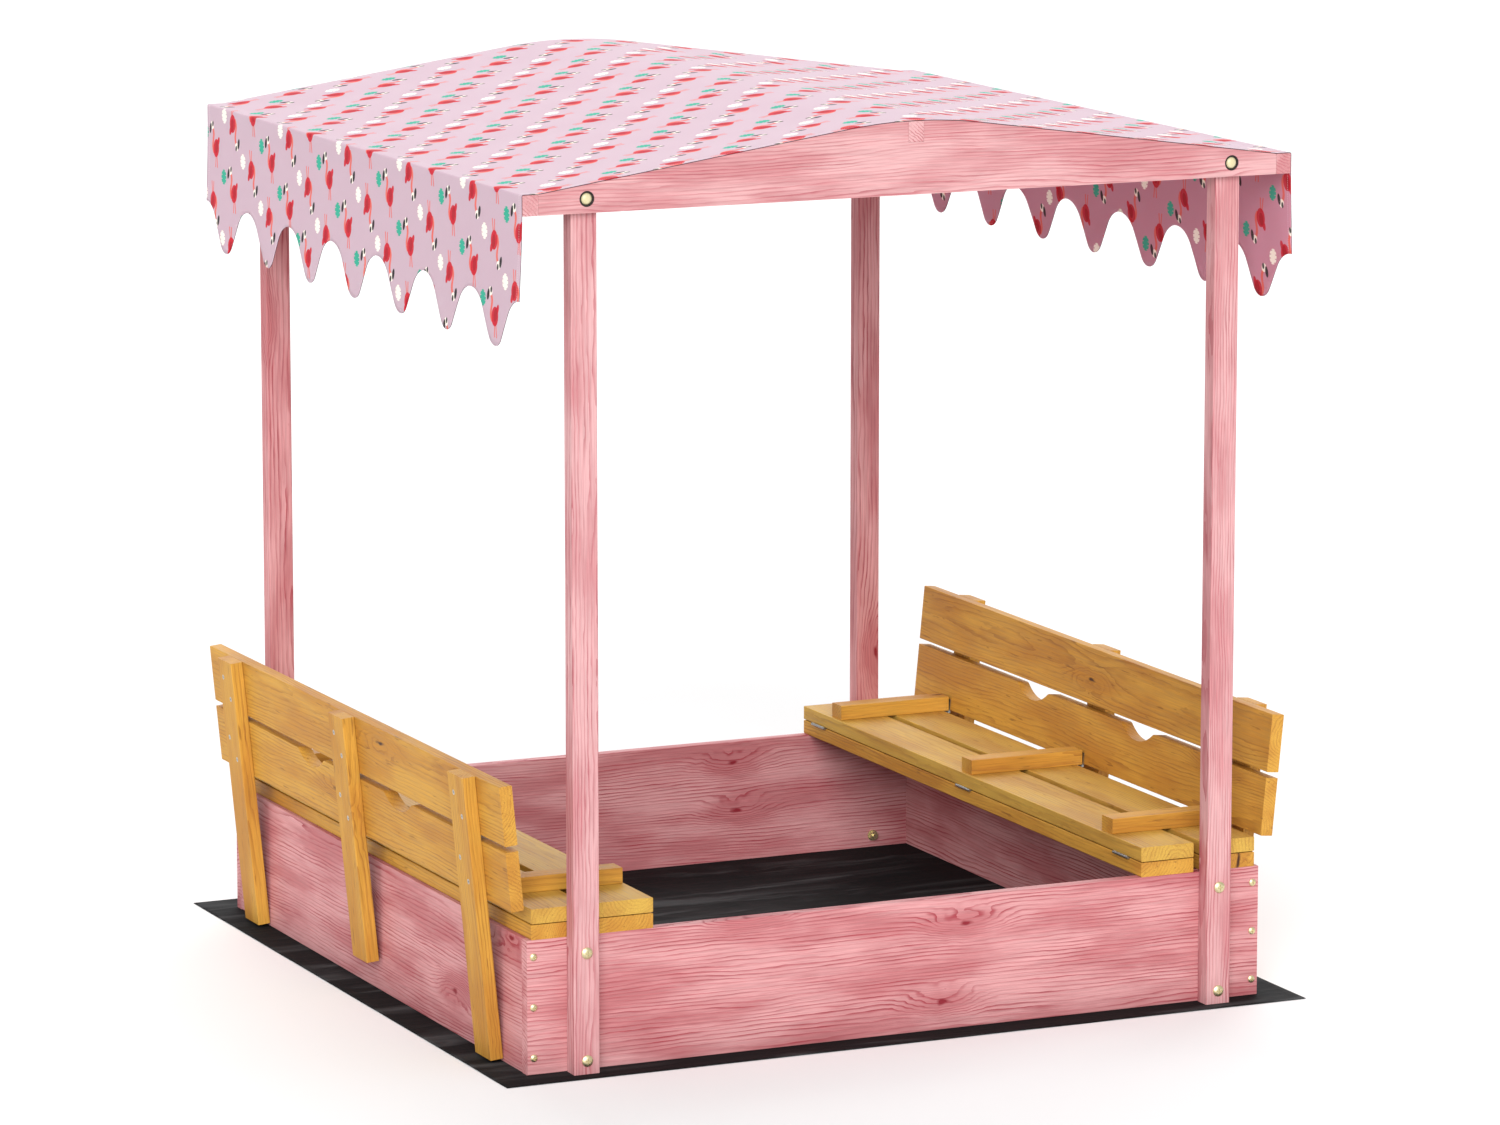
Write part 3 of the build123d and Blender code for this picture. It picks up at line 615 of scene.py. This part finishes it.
def inside(tree, distance, edge, soft=INK_BORDER):
    """1 where the distance is under the edge, with a border as soft as ink on canvas."""
    return add_node(
        tree, "ShaderNodeMapRange",
        {
            "Value": distance, "From Min": edge + soft / 2, "From Max": edge - soft / 2,
            "To Min": 0.0, "To Max": 1.0,
        },
    )


def oval(tree, place, middle, size, turn=0):
    """An oval of ink: its middle and its half sizes in metres, turned by some degrees."""
    own = add_node(
        tree, "ShaderNodeMapping",
        {
            "Vector": place, "Location": (*middle, 0),
            "Rotation": (0, 0, math.radians(turn)), "Scale": (*size, 1),
        },
        vector_type="TEXTURE",
    )
    distance = add_node(tree, "ShaderNodeVectorMath", {0: own}, out="Value", operation="LENGTH")
    return inside(tree, distance, 1.0, INK_BORDER / min(size))


def stroke(tree, place, points, width, bend=0):
    """A brush stroke between two points, bowed sideways by some metres like an S."""
    start, end = Vector(points[0]), Vector(points[1])
    middle, half = (start + end) / 2, (end - start).length / 2
    along = math.atan2(end.y - start.y, end.x - start.x)
    own = add_node(
        tree, "ShaderNodeMapping",
        {"Vector": place, "Location": (*middle, 0), "Rotation": (0, 0, along)}, vector_type="TEXTURE",
    )
    split = tree.nodes.new("ShaderNodeSeparateXYZ")
    tree.links.new(own, split.inputs[0])
    sideways = split.outputs[1]
    if bend:
        phase = add_node(
            tree, "ShaderNodeMath", {0: split.outputs[0], 1: math.pi / half}, operation="MULTIPLY"
        )
        swing = add_node(tree, "ShaderNodeMath", {0: phase}, operation="SINE")
        sideways = add_node(
            tree, "ShaderNodeMath", {0: swing, 1: -bend, 2: sideways}, operation="MULTIPLY_ADD"
        )
    sideways = add_node(tree, "ShaderNodeMath", {0: sideways}, operation="ABSOLUTE")
    lengthways = add_node(tree, "ShaderNodeMath", {0: split.outputs[0]}, operation="ABSOLUTE")
    return add_node(
        tree, "ShaderNodeMath",
        {0: inside(tree, sideways, width / 2), 1: inside(tree, lengthways, half)}, operation="MULTIPLY",
    )


# %% Cells: every one holds the same bird, and every other one holds it upside down
def cell_place(tree, cloth_place, shift):
    """Where a point of the cloth lies in its cell, and 1 in every other cell, which is turned half round."""
    scaled = add_node(
        tree, "ShaderNodeMapping",
        {"Vector": cloth_place, "Location": (*shift, 0), "Scale": (1 / CELL_ACROSS, 1 / CELL_ALONG, 1)},
    )
    split = tree.nodes.new("ShaderNodeSeparateXYZ")
    tree.links.new(scaled, split.inputs[0])
    row = add_node(tree, "ShaderNodeMath", {0: split.outputs[1]}, operation="FLOOR")
    # Every row starts a third of a cell further, which keeps the birds from standing in ranks.
    across = add_node(
        tree, "ShaderNodeMath", {0: row, 1: 0.34, 2: split.outputs[0]}, operation="MULTIPLY_ADD"
    )
    column = add_node(tree, "ShaderNodeMath", {0: across}, operation="FLOOR")
    both = add_node(tree, "ShaderNodeMath", {0: row, 1: column}, operation="ADD")
    odd = add_node(tree, "ShaderNodeMath", {0: both, 1: 2.0}, operation="FLOORED_MODULO")
    sign = add_node(
        tree, "ShaderNodeMath", {0: odd, 1: -2 / BIRD_SCALE, 2: 1 / BIRD_SCALE}, operation="MULTIPLY_ADD"
    )
    parts = []
    for value, size in ((split.outputs[1], CELL_ALONG), (across, CELL_ACROSS)):
        share = add_node(tree, "ShaderNodeMath", {0: value}, operation="FRACT")
        share = add_node(tree, "ShaderNodeMath", {0: share, 1: 0.5}, operation="SUBTRACT")
        parts.append(add_node(tree, "ShaderNodeMath", {0: share, 1: size}, operation="MULTIPLY"))
    centred = add_node(tree, "ShaderNodeCombineXYZ", {0: parts[0], 1: parts[1]})
    turned = add_node(tree, "ShaderNodeVectorMath", {0: centred, 3: sign}, operation="SCALE")
    return turned, odd


# %% The bird and the leaf
def bird(tree, place):
    """The bird's shapes in the order they are printed, each with its ink."""
    shapes = [
        (stroke(tree, place, ((-0.004 - 0.003 * i, -0.014), (-0.003 - 0.008 * i, -0.034)), 0.0026), "coral")
        for i in (0, 1)
    ]
    shapes.append((stroke(tree, place, ((0.005, -0.014), (0.0115, 0.024)), 0.0062, 0.0032), "coral"))
    for middle, size, turn, ink in (
        ((-0.004, -0.006), (0.0114, 0.0134), 14, "crimson"),  # body
        ((-0.0125, 0.004), (0.0042, 0.0078), 28, "crimson"),  # tail
        ((-0.0055, -0.004), (0.0056, 0.0092), 14, "deep_crimson"),  # wing
        ((0.0125, 0.026), (0.0062, 0.0060), 20, "cream"),  # head
        ((0.0200, 0.0210), (0.0040, 0.0080), 18, "black"),  # beak
        ((0.0104, 0.0282), (0.0030, 0.0042), 10, "black"),  # eye
    ):
        shapes.append((oval(tree, place, middle, size, turn), ink))
    return shapes


def lobed_leaf(tree, place):
    """A leaf whose outline comes and goes along its length, with a rib that joins the lobes."""
    outline = oval(tree, place, (0, 0), (0.0100, 0.0110), -8)
    lobes = add_node(
        tree, "ShaderNodeTexWave", {"Vector": place, "Scale": WAVE_PERIOD / 0.0056, "Distortion": 1.0},
        out="Fac", wave_type="BANDS", bands_direction="Y",
    )
    lobes = inside(tree, lobes, 0.86, 0.2)
    rib = oval(tree, place, (0, 0), (0.0062, 0.0104), -8)
    lobes = add_node(tree, "ShaderNodeMath", {0: lobes, 1: rib}, operation="MAXIMUM")
    return add_node(tree, "ShaderNodeMath", {0: outline, 1: lobes}, operation="MULTIPLY")


# %% The hem along the two gables: a turned edge, held by a line of short stitches
HEM, SEAM, STITCH = 0.011, 0.0095, 0.0034  # the hem's width, the seam from the edge, and one stitch and gap


def hem_and_stitches(tree, flat_place):
    """Where the cloth is double, where the seam dents it, and where the thread shows, all 0 to 1."""
    split = tree.nodes.new("ShaderNodeSeparateXYZ")
    tree.links.new(flat_place, split.inputs[0])
    from_middle = add_node(tree, "ShaderNodeMath", {0: split.outputs[1]}, operation="ABSOLUTE")
    from_edge = add_node(tree, "ShaderNodeMath", {0: cloth_end, 1: from_middle}, operation="SUBTRACT")
    hem = inside(tree, from_edge, HEM, 0.001)
    seam = add_node(tree, "ShaderNodeMath", {0: from_edge, 1: SEAM}, operation="SUBTRACT")
    seam = add_node(tree, "ShaderNodeMath", {0: seam}, operation="ABSOLUTE")
    seam = inside(tree, seam, 0.0005)
    stitches = add_node(
        tree, "ShaderNodeTexWave", {"Vector": flat_place, "Scale": WAVE_PERIOD / STITCH},
        out="Fac", wave_type="BANDS", bands_direction="X",
    )
    thread = add_node(tree, "ShaderNodeMath", {0: stitches, 1: 0.25}, operation="GREATER_THAN")
    thread = add_node(tree, "ShaderNodeMath", {0: seam, 1: thread}, operation="MULTIPLY")
    return hem, seam, thread


# %% The printed canvas
WEAVE = 0.0018  # between ribs. The real plain weave is 0.6 mm, and this is three times as coarse to show


def printed_canvas(name, ground, ink_strength):
    """Polyester canvas in a ground colour, printed, woven and hemmed."""
    material, tree = empty_material(name)
    flat_place = add_node(tree, "ShaderNodeUVMap", uv_map="cut_cloth")
    bird_place = cell_place(tree, flat_place, (0.21, 0.13))[0]
    leaf_place, odd_leaf = cell_place(tree, flat_place, (0.71, 0.63))
    leaf_tone = add_node(
        tree, "ShaderNodeMix", {0: odd_leaf, 6: colour(INKS["teal"]), 7: colour(INKS["cream"])},
        out=2, data_type="RGBA",
    )
    ink = add_node(tree, "ShaderNodeTexNoise", {"Vector": flat_place, "Scale": 260, "Detail": 3})
    ink = add_node(
        tree, "ShaderNodeMapRange",
        {
            "Value": ink, "From Min": 0.3, "From Max": 0.62,
            "To Min": 0.95 * ink_strength, "To Max": ink_strength,
        },
    )
    tone = colour(ground)
    printed = [(mask, colour(INKS[code])) for mask, code in bird(tree, bird_place)]
    for mask, code in [(lobed_leaf(tree, leaf_place), leaf_tone), *printed]:
        share = add_node(tree, "ShaderNodeMath", {0: mask, 1: ink}, operation="MULTIPLY")
        tone = add_node(tree, "ShaderNodeMix", {0: share, 6: tone, 7: code}, out=2, data_type="RGBA")

    # The weave: warp and weft as two sets of fine ribs.
    ribs = [
        add_node(
            tree, "ShaderNodeTexWave",
            {"Vector": flat_place, "Scale": WAVE_PERIOD / WEAVE, "Distortion": 0.4},
            out="Fac", wave_type="BANDS", bands_direction=way,
        )
        for way in ("X", "Y")
    ]
    weave = add_node(tree, "ShaderNodeMath", {0: ribs[0], 1: ribs[1]}, operation="MULTIPLY")
    shade = add_node(
        tree, "ShaderNodeMapRange",
        {"Value": weave, "From Min": 0.0, "From Max": 1.0, "To Min": 0.965, "To Max": 1.03},
    )
    hem, seam, thread = hem_and_stitches(tree, flat_place)
    thread_share = add_node(tree, "ShaderNodeMath", {0: thread, 1: 0.5}, operation="MULTIPLY")
    tone = add_node(
        tree, "ShaderNodeMix", {0: thread_share, 6: tone, 7: colour(INKS["thread"])}, out=2, data_type="RGBA"
    )
    tone = add_node(tree, "ShaderNodeVectorMath", {0: tone, 3: shade}, operation="SCALE")
    relief = add_node(tree, "ShaderNodeMath", {0: hem, 1: 1.4, 2: weave}, operation="MULTIPLY_ADD")
    relief = add_node(tree, "ShaderNodeMath", {0: seam, 1: -1.2, 2: relief}, operation="MULTIPLY_ADD")
    bump = add_node(tree, "ShaderNodeBump", {"Height": relief, "Strength": 0.3, "Distance": 0.0004})

    # Light goes into the threads and out of the other side, so the roof glows a little from below.
    shader = add_node(
        tree, "ShaderNodeBsdfPrincipled",
        {
            "Base Color": tone, "Roughness": 0.86, "IOR": 1.5, "Specular IOR Level": 0.18,
            "Sheen Weight": 0.05, "Sheen Roughness": 0.5, "Normal": bump,
            "Subsurface Weight": 1.0, "Subsurface Radius": (1.0, 0.85, 0.9), "Subsurface Scale": 0.0018,
        },
    )
    add_node(tree, "ShaderNodeOutputMaterial", {"Surface": shader})
    return material


# %% Print the cloth outside, inside and on its cut edge, and give it its thickness; the inner side carries some painted shade and the cut edge a painted shadow line
canopy_mesh.materials.append(printed_canvas("printed_polyester_canvas", "#b59ca8", 1.0))
# The inner side's ground is pinker and darker than the outside, and its print a little weaker: partly the
# back of a printed cloth, partly painted shade under the roof.
canopy_mesh.materials.append(printed_canvas("printed_polyester_canvas_inner_side_part_painted_shade", "#bb8293", 0.95))
# The cut edge is near black with hardly any print: painted shadow, the dark line of shade where the cloth
# meets the gables.
canopy_mesh.materials.append(printed_canvas("printed_polyester_canvas_cut_edge_painted_shadow_line", "#2b1a1f", 0.15))
thicken = canopy.modifiers.new("canvas_thickness", "SOLIDIFY")
thicken.thickness, thicken.offset = THICKNESS, 0
thicken.material_offset, thicken.material_offset_rim = 1, 2
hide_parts("canopy_cover")
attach(canopy, "box")

# %% [markdown]
# ## The ground sheet
# A square of black ground fabric lies under the whole box. It is woven from flat polypropylene tape, so it
# has a faint criss-cross and a dull plastic shine that shows every crease. It is trapped flat where the
# walls and posts stand on it, and rises a few millimetres in soft folds in the middle and at its edge.

# %% Lay the ground sheet
SHEET_HALF, SHEET_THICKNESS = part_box("ground_sheet")[1].x, 0.0005
INNER_HALF, OUTER_HALF = 0.565, 0.636  # the sheet is loose inside the first and outside the second
FOLD, FLUTTER = 0.0034, 0.0016  # metres that it rises there
UNEVEN = 0.0004  # how far its cut edge wanders, as a share of its size
sheet_mesh = bpy.data.meshes.new("woven_ground_sheet")
fabric = bmesh.new()
bmesh.ops.create_grid(fabric, x_segments=150, y_segments=150, size=SHEET_HALF)
tape_map = fabric.loops.layers.uv.new("tape")
for face in fabric.faces:
    for loop in face.loops:
        loop[tape_map].uv = loop.vert.co.xy
for v in fabric.verts:
    x, y = v.co.x, v.co.y
    out = max(abs(x), abs(y))
    free = ease(INNER_HALF - out, 0, 0.05)
    edge = ease(out, OUTER_HALF, SHEET_HALF)
    ridges = 0
    for turn, size, seed in ((0.5, 2.6, 1), (2.3, 3.4, 5), (1.3, 5.5, 9)):
        u = x * math.cos(turn) + y * math.sin(turn)
        w = y * math.cos(turn) - x * math.sin(turn)
        fold = noise.noise(Vector((u * size, w * size * 2.6, seed)))
        present = ease(noise.noise(Vector((u * 1.5, w * 1.5, seed + 20))), -0.2, 0.3)
        ridges += max(0, 1 - abs(fold) * 7) * present
    flutter = 0.5 + 0.5 * noise.noise(Vector((x * 9, y * 9, 30)))
    v.co.z = SHEET_THICKNESS / 2 + 0.0001 + free * FOLD * min(ridges, 1.2) + edge * FLUTTER * flutter
for v in fabric.verts:  # the edges aren't cut dead straight
    v.co.x *= 1 - UNEVEN * (0.5 + noise.noise(Vector((0, v.co.y * 6, 3))))
    v.co.y *= 1 - UNEVEN * (0.5 + noise.noise(Vector((v.co.x * 6, 0, 7))))
highest = max(v.co.z for v in fabric.verts)
fabric.to_mesh(sheet_mesh)
fabric.free()
for face in sheet_mesh.polygons:
    face.use_smooth = True
sheet = bpy.data.objects.new("woven_ground_sheet", sheet_mesh)
bpy.context.scene.collection.objects.link(sheet)
thicken = sheet.modifiers.new("fabric_thickness", "SOLIDIFY")
thicken.thickness, thicken.offset = SHEET_THICKNESS, 0
print("ground sheet", round(2 * SHEET_HALF, 3), "m square, highest fold", round(highest * 1000, 1), "mm")

# %% Woven polypropylene tape
TAPE = 0.0025  # metres wide
tape_fabric, tree = empty_material("woven_black_polypropylene")
tape_place = add_node(tree, "ShaderNodeUVMap", uv_map="tape")
tapes = add_node(tree, "ShaderNodeTexChecker", {"Vector": tape_place, "Scale": 1 / TAPE}, out="Fac")
warp, weft = [
    add_node(
        tree, "ShaderNodeTexWave", {"Vector": tape_place, "Scale": WAVE_PERIOD / TAPE}, out="Fac",
        wave_type="BANDS", bands_direction=way,
    )
    for way in ("X", "Y")
]
weave = add_node(tree, "ShaderNodeMix", {0: tapes, 2: warp, 3: weft}, out=0, data_type="FLOAT")
dust = add_node(tree, "ShaderNodeTexNoise", {"Vector": tape_place, "Scale": 7, "Detail": 5})
creases = []  # two sets of worn lines that cross, each about 80 mm apart
for turn, shift in ((0.5, 1), (2.2, 6)):
    drawn_out = add_node(
        tree, "ShaderNodeMapping",
        {
            "Vector": tape_place, "Rotation": (0, 0, turn), "Scale": (2.2, 13, 1),
            "Location": (shift, 0, 0),
        },
    )
    creases.append(add_node(
        tree, "ShaderNodeTexNoise",
        {"Vector": drawn_out, "Scale": 1, "Detail": 4, "Roughness": 0.55, "Distortion": 0.6},
    ))
crease = add_node(tree, "ShaderNodeMath", {0: creases[0], 1: creases[1]}, operation="MAXIMUM")
worn = add_node(
    tree, "ShaderNodeMapRange",
    {"Value": crease, "From Min": 0.54, "From Max": 0.74, "To Min": 0.0, "To Max": 1.0},
    interpolation_type="SMOOTHSTEP",
)
tone = add_node(
    tree, "ShaderNodeMix", {0: dust, 6: colour("#101011"), 7: colour("#19191a")}, out=2, data_type="RGBA"
)
tone = add_node(tree, "ShaderNodeMix", {0: worn, 6: tone, 7: colour("#474849")}, out=2, data_type="RGBA")
shade = add_node(
    tree, "ShaderNodeMapRange",
    {"Value": weave, "From Min": 0.0, "From Max": 1.0, "To Min": 0.8, "To Max": 1.1},
)
tone = add_node(tree, "ShaderNodeVectorMath", {0: tone, 3: shade}, operation="SCALE")
rough = add_node(
    tree, "ShaderNodeMapRange",
    {"Value": dust, "From Min": 0.3, "From Max": 0.7, "To Min": 0.75, "To Max": 0.9},
)
fine = add_node(tree, "ShaderNodeBump", {"Height": weave, "Strength": 0.3, "Distance": 0.0003})
bump = add_node(
    tree, "ShaderNodeBump", {"Height": crease, "Strength": 0.6, "Distance": 0.012, "Normal": fine}
)
shader = add_node(
    tree, "ShaderNodeBsdfPrincipled",
    {"Base Color": tone, "Roughness": rough, "IOR": 1.49, "Specular IOR Level": 0.12, "Normal": bump},
)
add_node(tree, "ShaderNodeOutputMaterial", {"Surface": shader})
sheet_mesh.materials.append(tape_fabric)
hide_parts("ground_sheet")
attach(sheet, "box")
print("sheet finished")

# %% [markdown]
# ## The small screws in the hinges
# Each hinge leaf is held by two countersunk cross-head screws. They are too small for the frame, but bare
# holes in a hinge look unfinished from close by. One screw is turned and cut once, and every other one is
# a copy of it, set into its hole by a matrix.

# %% One countersunk screw: a turned cone with a cross cut into its flat top
CROSS_WIDTH, CROSS_LENGTH, CROSS_DEPTH = 0.0006, 0.0028, 0.0007
screw = bmesh.new()
outline = [(0, 0), (0.0024, 0), (0.00255, -0.00012), (0.0014, -0.0012), (0.0014, -0.0042), (0, -0.0046)]
line = [screw.verts.new((x, 0, z)) for x, z in outline]
line = [screw.edges.new(pair) for pair in zip(line, line[1:])]
bmesh.ops.spin(
    screw, geom=[*screw.verts, *line], cent=(0, 0, 0), axis=(0, 0, 1), dvec=(0, 0, 0),
    angle=2 * math.pi, steps=24, use_merge=True,
)
bmesh.ops.remove_doubles(screw, verts=screw.verts, dist=1e-6)
for offset in (CROSS_WIDTH / 2, CROSS_LENGTH / 2):
    for axis in (X, Y):
        for way in (-1, 1):
            top = [f for f in screw.faces if f.calc_center_median().z > -1e-5]
            geom = [*top, *{e for f in top for e in f.edges}, *{v for f in top for v in f.verts}]
            bmesh.ops.bisect_plane(screw, geom=geom, plane_co=axis * way * offset, plane_no=axis)
cross = []
for f in screw.faces:
    c = f.calc_center_median()
    narrow, far = sorted((abs(c.x), abs(c.y)))
    if c.z > -1e-5 and narrow < CROSS_WIDTH / 2 and far < CROSS_LENGTH / 2:
        cross.append(f)
sunk = bmesh.ops.extrude_face_region(screw, geom=cross)["geom"]
floor_corners = [part for part in sunk if isinstance(part, bmesh.types.BMVert)]
bmesh.ops.translate(screw, vec=(0, 0, -CROSS_DEPTH), verts=floor_corners)
bmesh.ops.delete(screw, geom=cross, context="FACES_ONLY")
bmesh.ops.recalc_face_normals(screw, faces=screw.faces)
screw_mesh = bpy.data.meshes.new("one_screw")
screw.to_mesh(screw_mesh)
screw.free()
print("one screw:", len(screw_mesh.polygons), "faces,", len(cross), "of them in the cross")

# %% Every hole in every leaf gets a copy of the screw
FOLD_LENGTH, BACK_LENGTH = 0.046, 0.030  # along the pin
HOLE_FROM_PIN, HOLE_SHARE = 0.0116, 0.3  # the holes are this share of the length off a leaf's middle
PIN_PROUD = 0.0014  # how far a pin's end stands out of its hinge
FOLD_GAP, BACK_GAP = 0.00015, 0.0003  # from a pin's middle to the faces of its leaves
SUNK = 0.00006  # how deep a screw's head lies in its leaf
pins = {name: Vector(joint["pos_m"]) for name, joint in joints.items()}
fold_y, back_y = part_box("fold_hinge_pins")[1].y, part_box("left_back_hinge_pins")[1].y
fold_places = [way * (fold_y - FOLD_LENGTH / 2 - PIN_PROUD) for way in (-1, 0, 1)]
back_places = [way * (back_y - BACK_LENGTH / 2 - PIN_PROUD) for way in (-1, 0, 1)]
screw_sets = {}
for side, sign in side_of.items():
    fold, back = pins[f"{side}_seat_fold"], pins[f"{side}_backrest_fold"]
    out, up = X * sign, up_the_back[side]
    behind = Vector((sign * math.cos(lean), 0, -math.sin(lean)))
    on_seat, on_back = f"{side}_seat_hinge_screws", f"{side}_back_hinge_screws"
    for key, body, pin, places, length, along, facing, gap in (
        ("box_hinge_screws", "box", fold, fold_places, FOLD_LENGTH, out, Z, FOLD_GAP),
        (on_seat, f"{side}_seat", fold, fold_places, FOLD_LENGTH, out, -Z, FOLD_GAP),
        (on_seat, f"{side}_seat", back, back_places, BACK_LENGTH, Z, out, BACK_GAP),
        (on_back, f"{side}_backrest", back, back_places, BACK_LENGTH, up, -behind, BACK_GAP),
    ):
        for y in places:
            for step in (-1, 1):
                head = pin + along * HOLE_FROM_PIN - facing * (gap + SUNK)
                head.y = y + step * HOLE_SHARE * length
                turn = facing.to_track_quat("Z", "Y").to_matrix().to_4x4()
                spin = Matrix.Rotation(head.y * 40, 4, "Z")  # no two crosses point the same way
                screw_sets.setdefault((key, body), []).append(Matrix.Translation(head) @ turn @ spin)

for (key, body), places in screw_sets.items():
    together = bmesh.new()
    for place in places:
        one = screw_mesh.copy()
        one.transform(place)
        together.from_mesh(one)
        bpy.data.meshes.remove(one)
    mesh = bpy.data.meshes.new(key)
    together.to_mesh(mesh)
    together.free()
    mesh.materials.append(bright_zinc)
    piece = bpy.data.objects.new(key, mesh)
    bpy.context.scene.collection.objects.link(piece)
    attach(piece, body)
    print(key, len(places), "screws on", body)

# %% [markdown]
# ## Dark rings round the capped bolts
# Each capped bolt sits in a hole that is wider than its head. A near-black ring fills the gap: painted
# shadow, a dark solid put where the gap round the head lies in shade. It is a small circle spun about the
# bolt. The bolts' places are read from the frame: each one is the middle of the mesh points in its own
# corner.

# %% Spin a near-black ring of painted shadow round each capped bolt
GAP, RING_RADIUS = 0.003, 0.00145  # the gap round the head, and the dark ring's own radius
bolts = nodes["gable_bolts"].data.vertices
ring = bmesh.new()
for sign_x in (-1, 1):
    for sign_y in (-1, 1):
        corner = [v.co for v in bolts if v.co.x * sign_x > 0 and v.co.y * sign_y > 0]
        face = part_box("front_gable" if sign_y < 0 else "back_gable")[0 if sign_y < 0 else 1].y
        low = Vector([min(c[i] for c in corner) for i in range(3)])
        high = Vector([max(c[i] for c in corner) for i in range(3)])
        middle, radius = (low + high) / 2, (high.x - low.x) / 2
        start = Matrix.Translation((middle.x + radius + GAP / 2, face - sign_y * RING_RADIUS, middle.z))
        made = bmesh.ops.create_circle(ring, segments=12, radius=RING_RADIUS, matrix=start)
        edges = {e for v in made["verts"] for e in v.link_edges}
        bmesh.ops.spin(
            ring, geom=[*made["verts"], *edges], cent=(middle.x, face, middle.z), axis=(0, 1, 0),
            dvec=(0, 0, 0), angle=2 * math.pi, steps=48, use_merge=True,
        )
        print("bolt at", tuple(round(c * 1000) for c in middle), "head radius", round(radius * 1000, 1), "mm")
bmesh.ops.remove_doubles(ring, verts=ring.verts, dist=1e-6)
bmesh.ops.recalc_face_normals(ring, faces=ring.faces)
ring_mesh = bpy.data.meshes.new("bolt_gap_shadow_rings")
ring.to_mesh(ring_mesh)
ring.free()
for face in ring_mesh.polygons:
    face.use_smooth = True

# %% Near-black matt finish for the rings, painted shadow, with a slight uneven grey
gap_shadow_finish, tree = empty_material("black_painted_gap_shadow")
place = add_node(tree, "ShaderNodeTexCoord", out="Object")
shadow_tone_noise = add_node(tree, "ShaderNodeTexNoise", {"Vector": place, "Scale": 400, "Detail": 3})
tone = add_node(
    tree, "ShaderNodeMix", {0: shadow_tone_noise, 6: colour("#1c1714"), 7: colour("#2e2824")}, out=2, data_type="RGBA"
)
bump = add_node(tree, "ShaderNodeBump", {"Height": shadow_tone_noise, "Strength": 0.2, "Distance": 0.0002})
shader = add_node(
    tree, "ShaderNodeBsdfPrincipled",
    {"Base Color": tone, "Roughness": 0.7, "IOR": 1.52, "Specular IOR Level": 0.3, "Normal": bump},
)
add_node(tree, "ShaderNodeOutputMaterial", {"Surface": shader})
ring_mesh.materials.append(gap_shadow_finish)
rings_piece = bpy.data.objects.new("bolt_gap_shadow_rings", ring_mesh)
bpy.context.scene.collection.objects.link(rings_piece)
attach(rings_piece, "box")
print("rings:", len(ring_mesh.polygons), "faces")
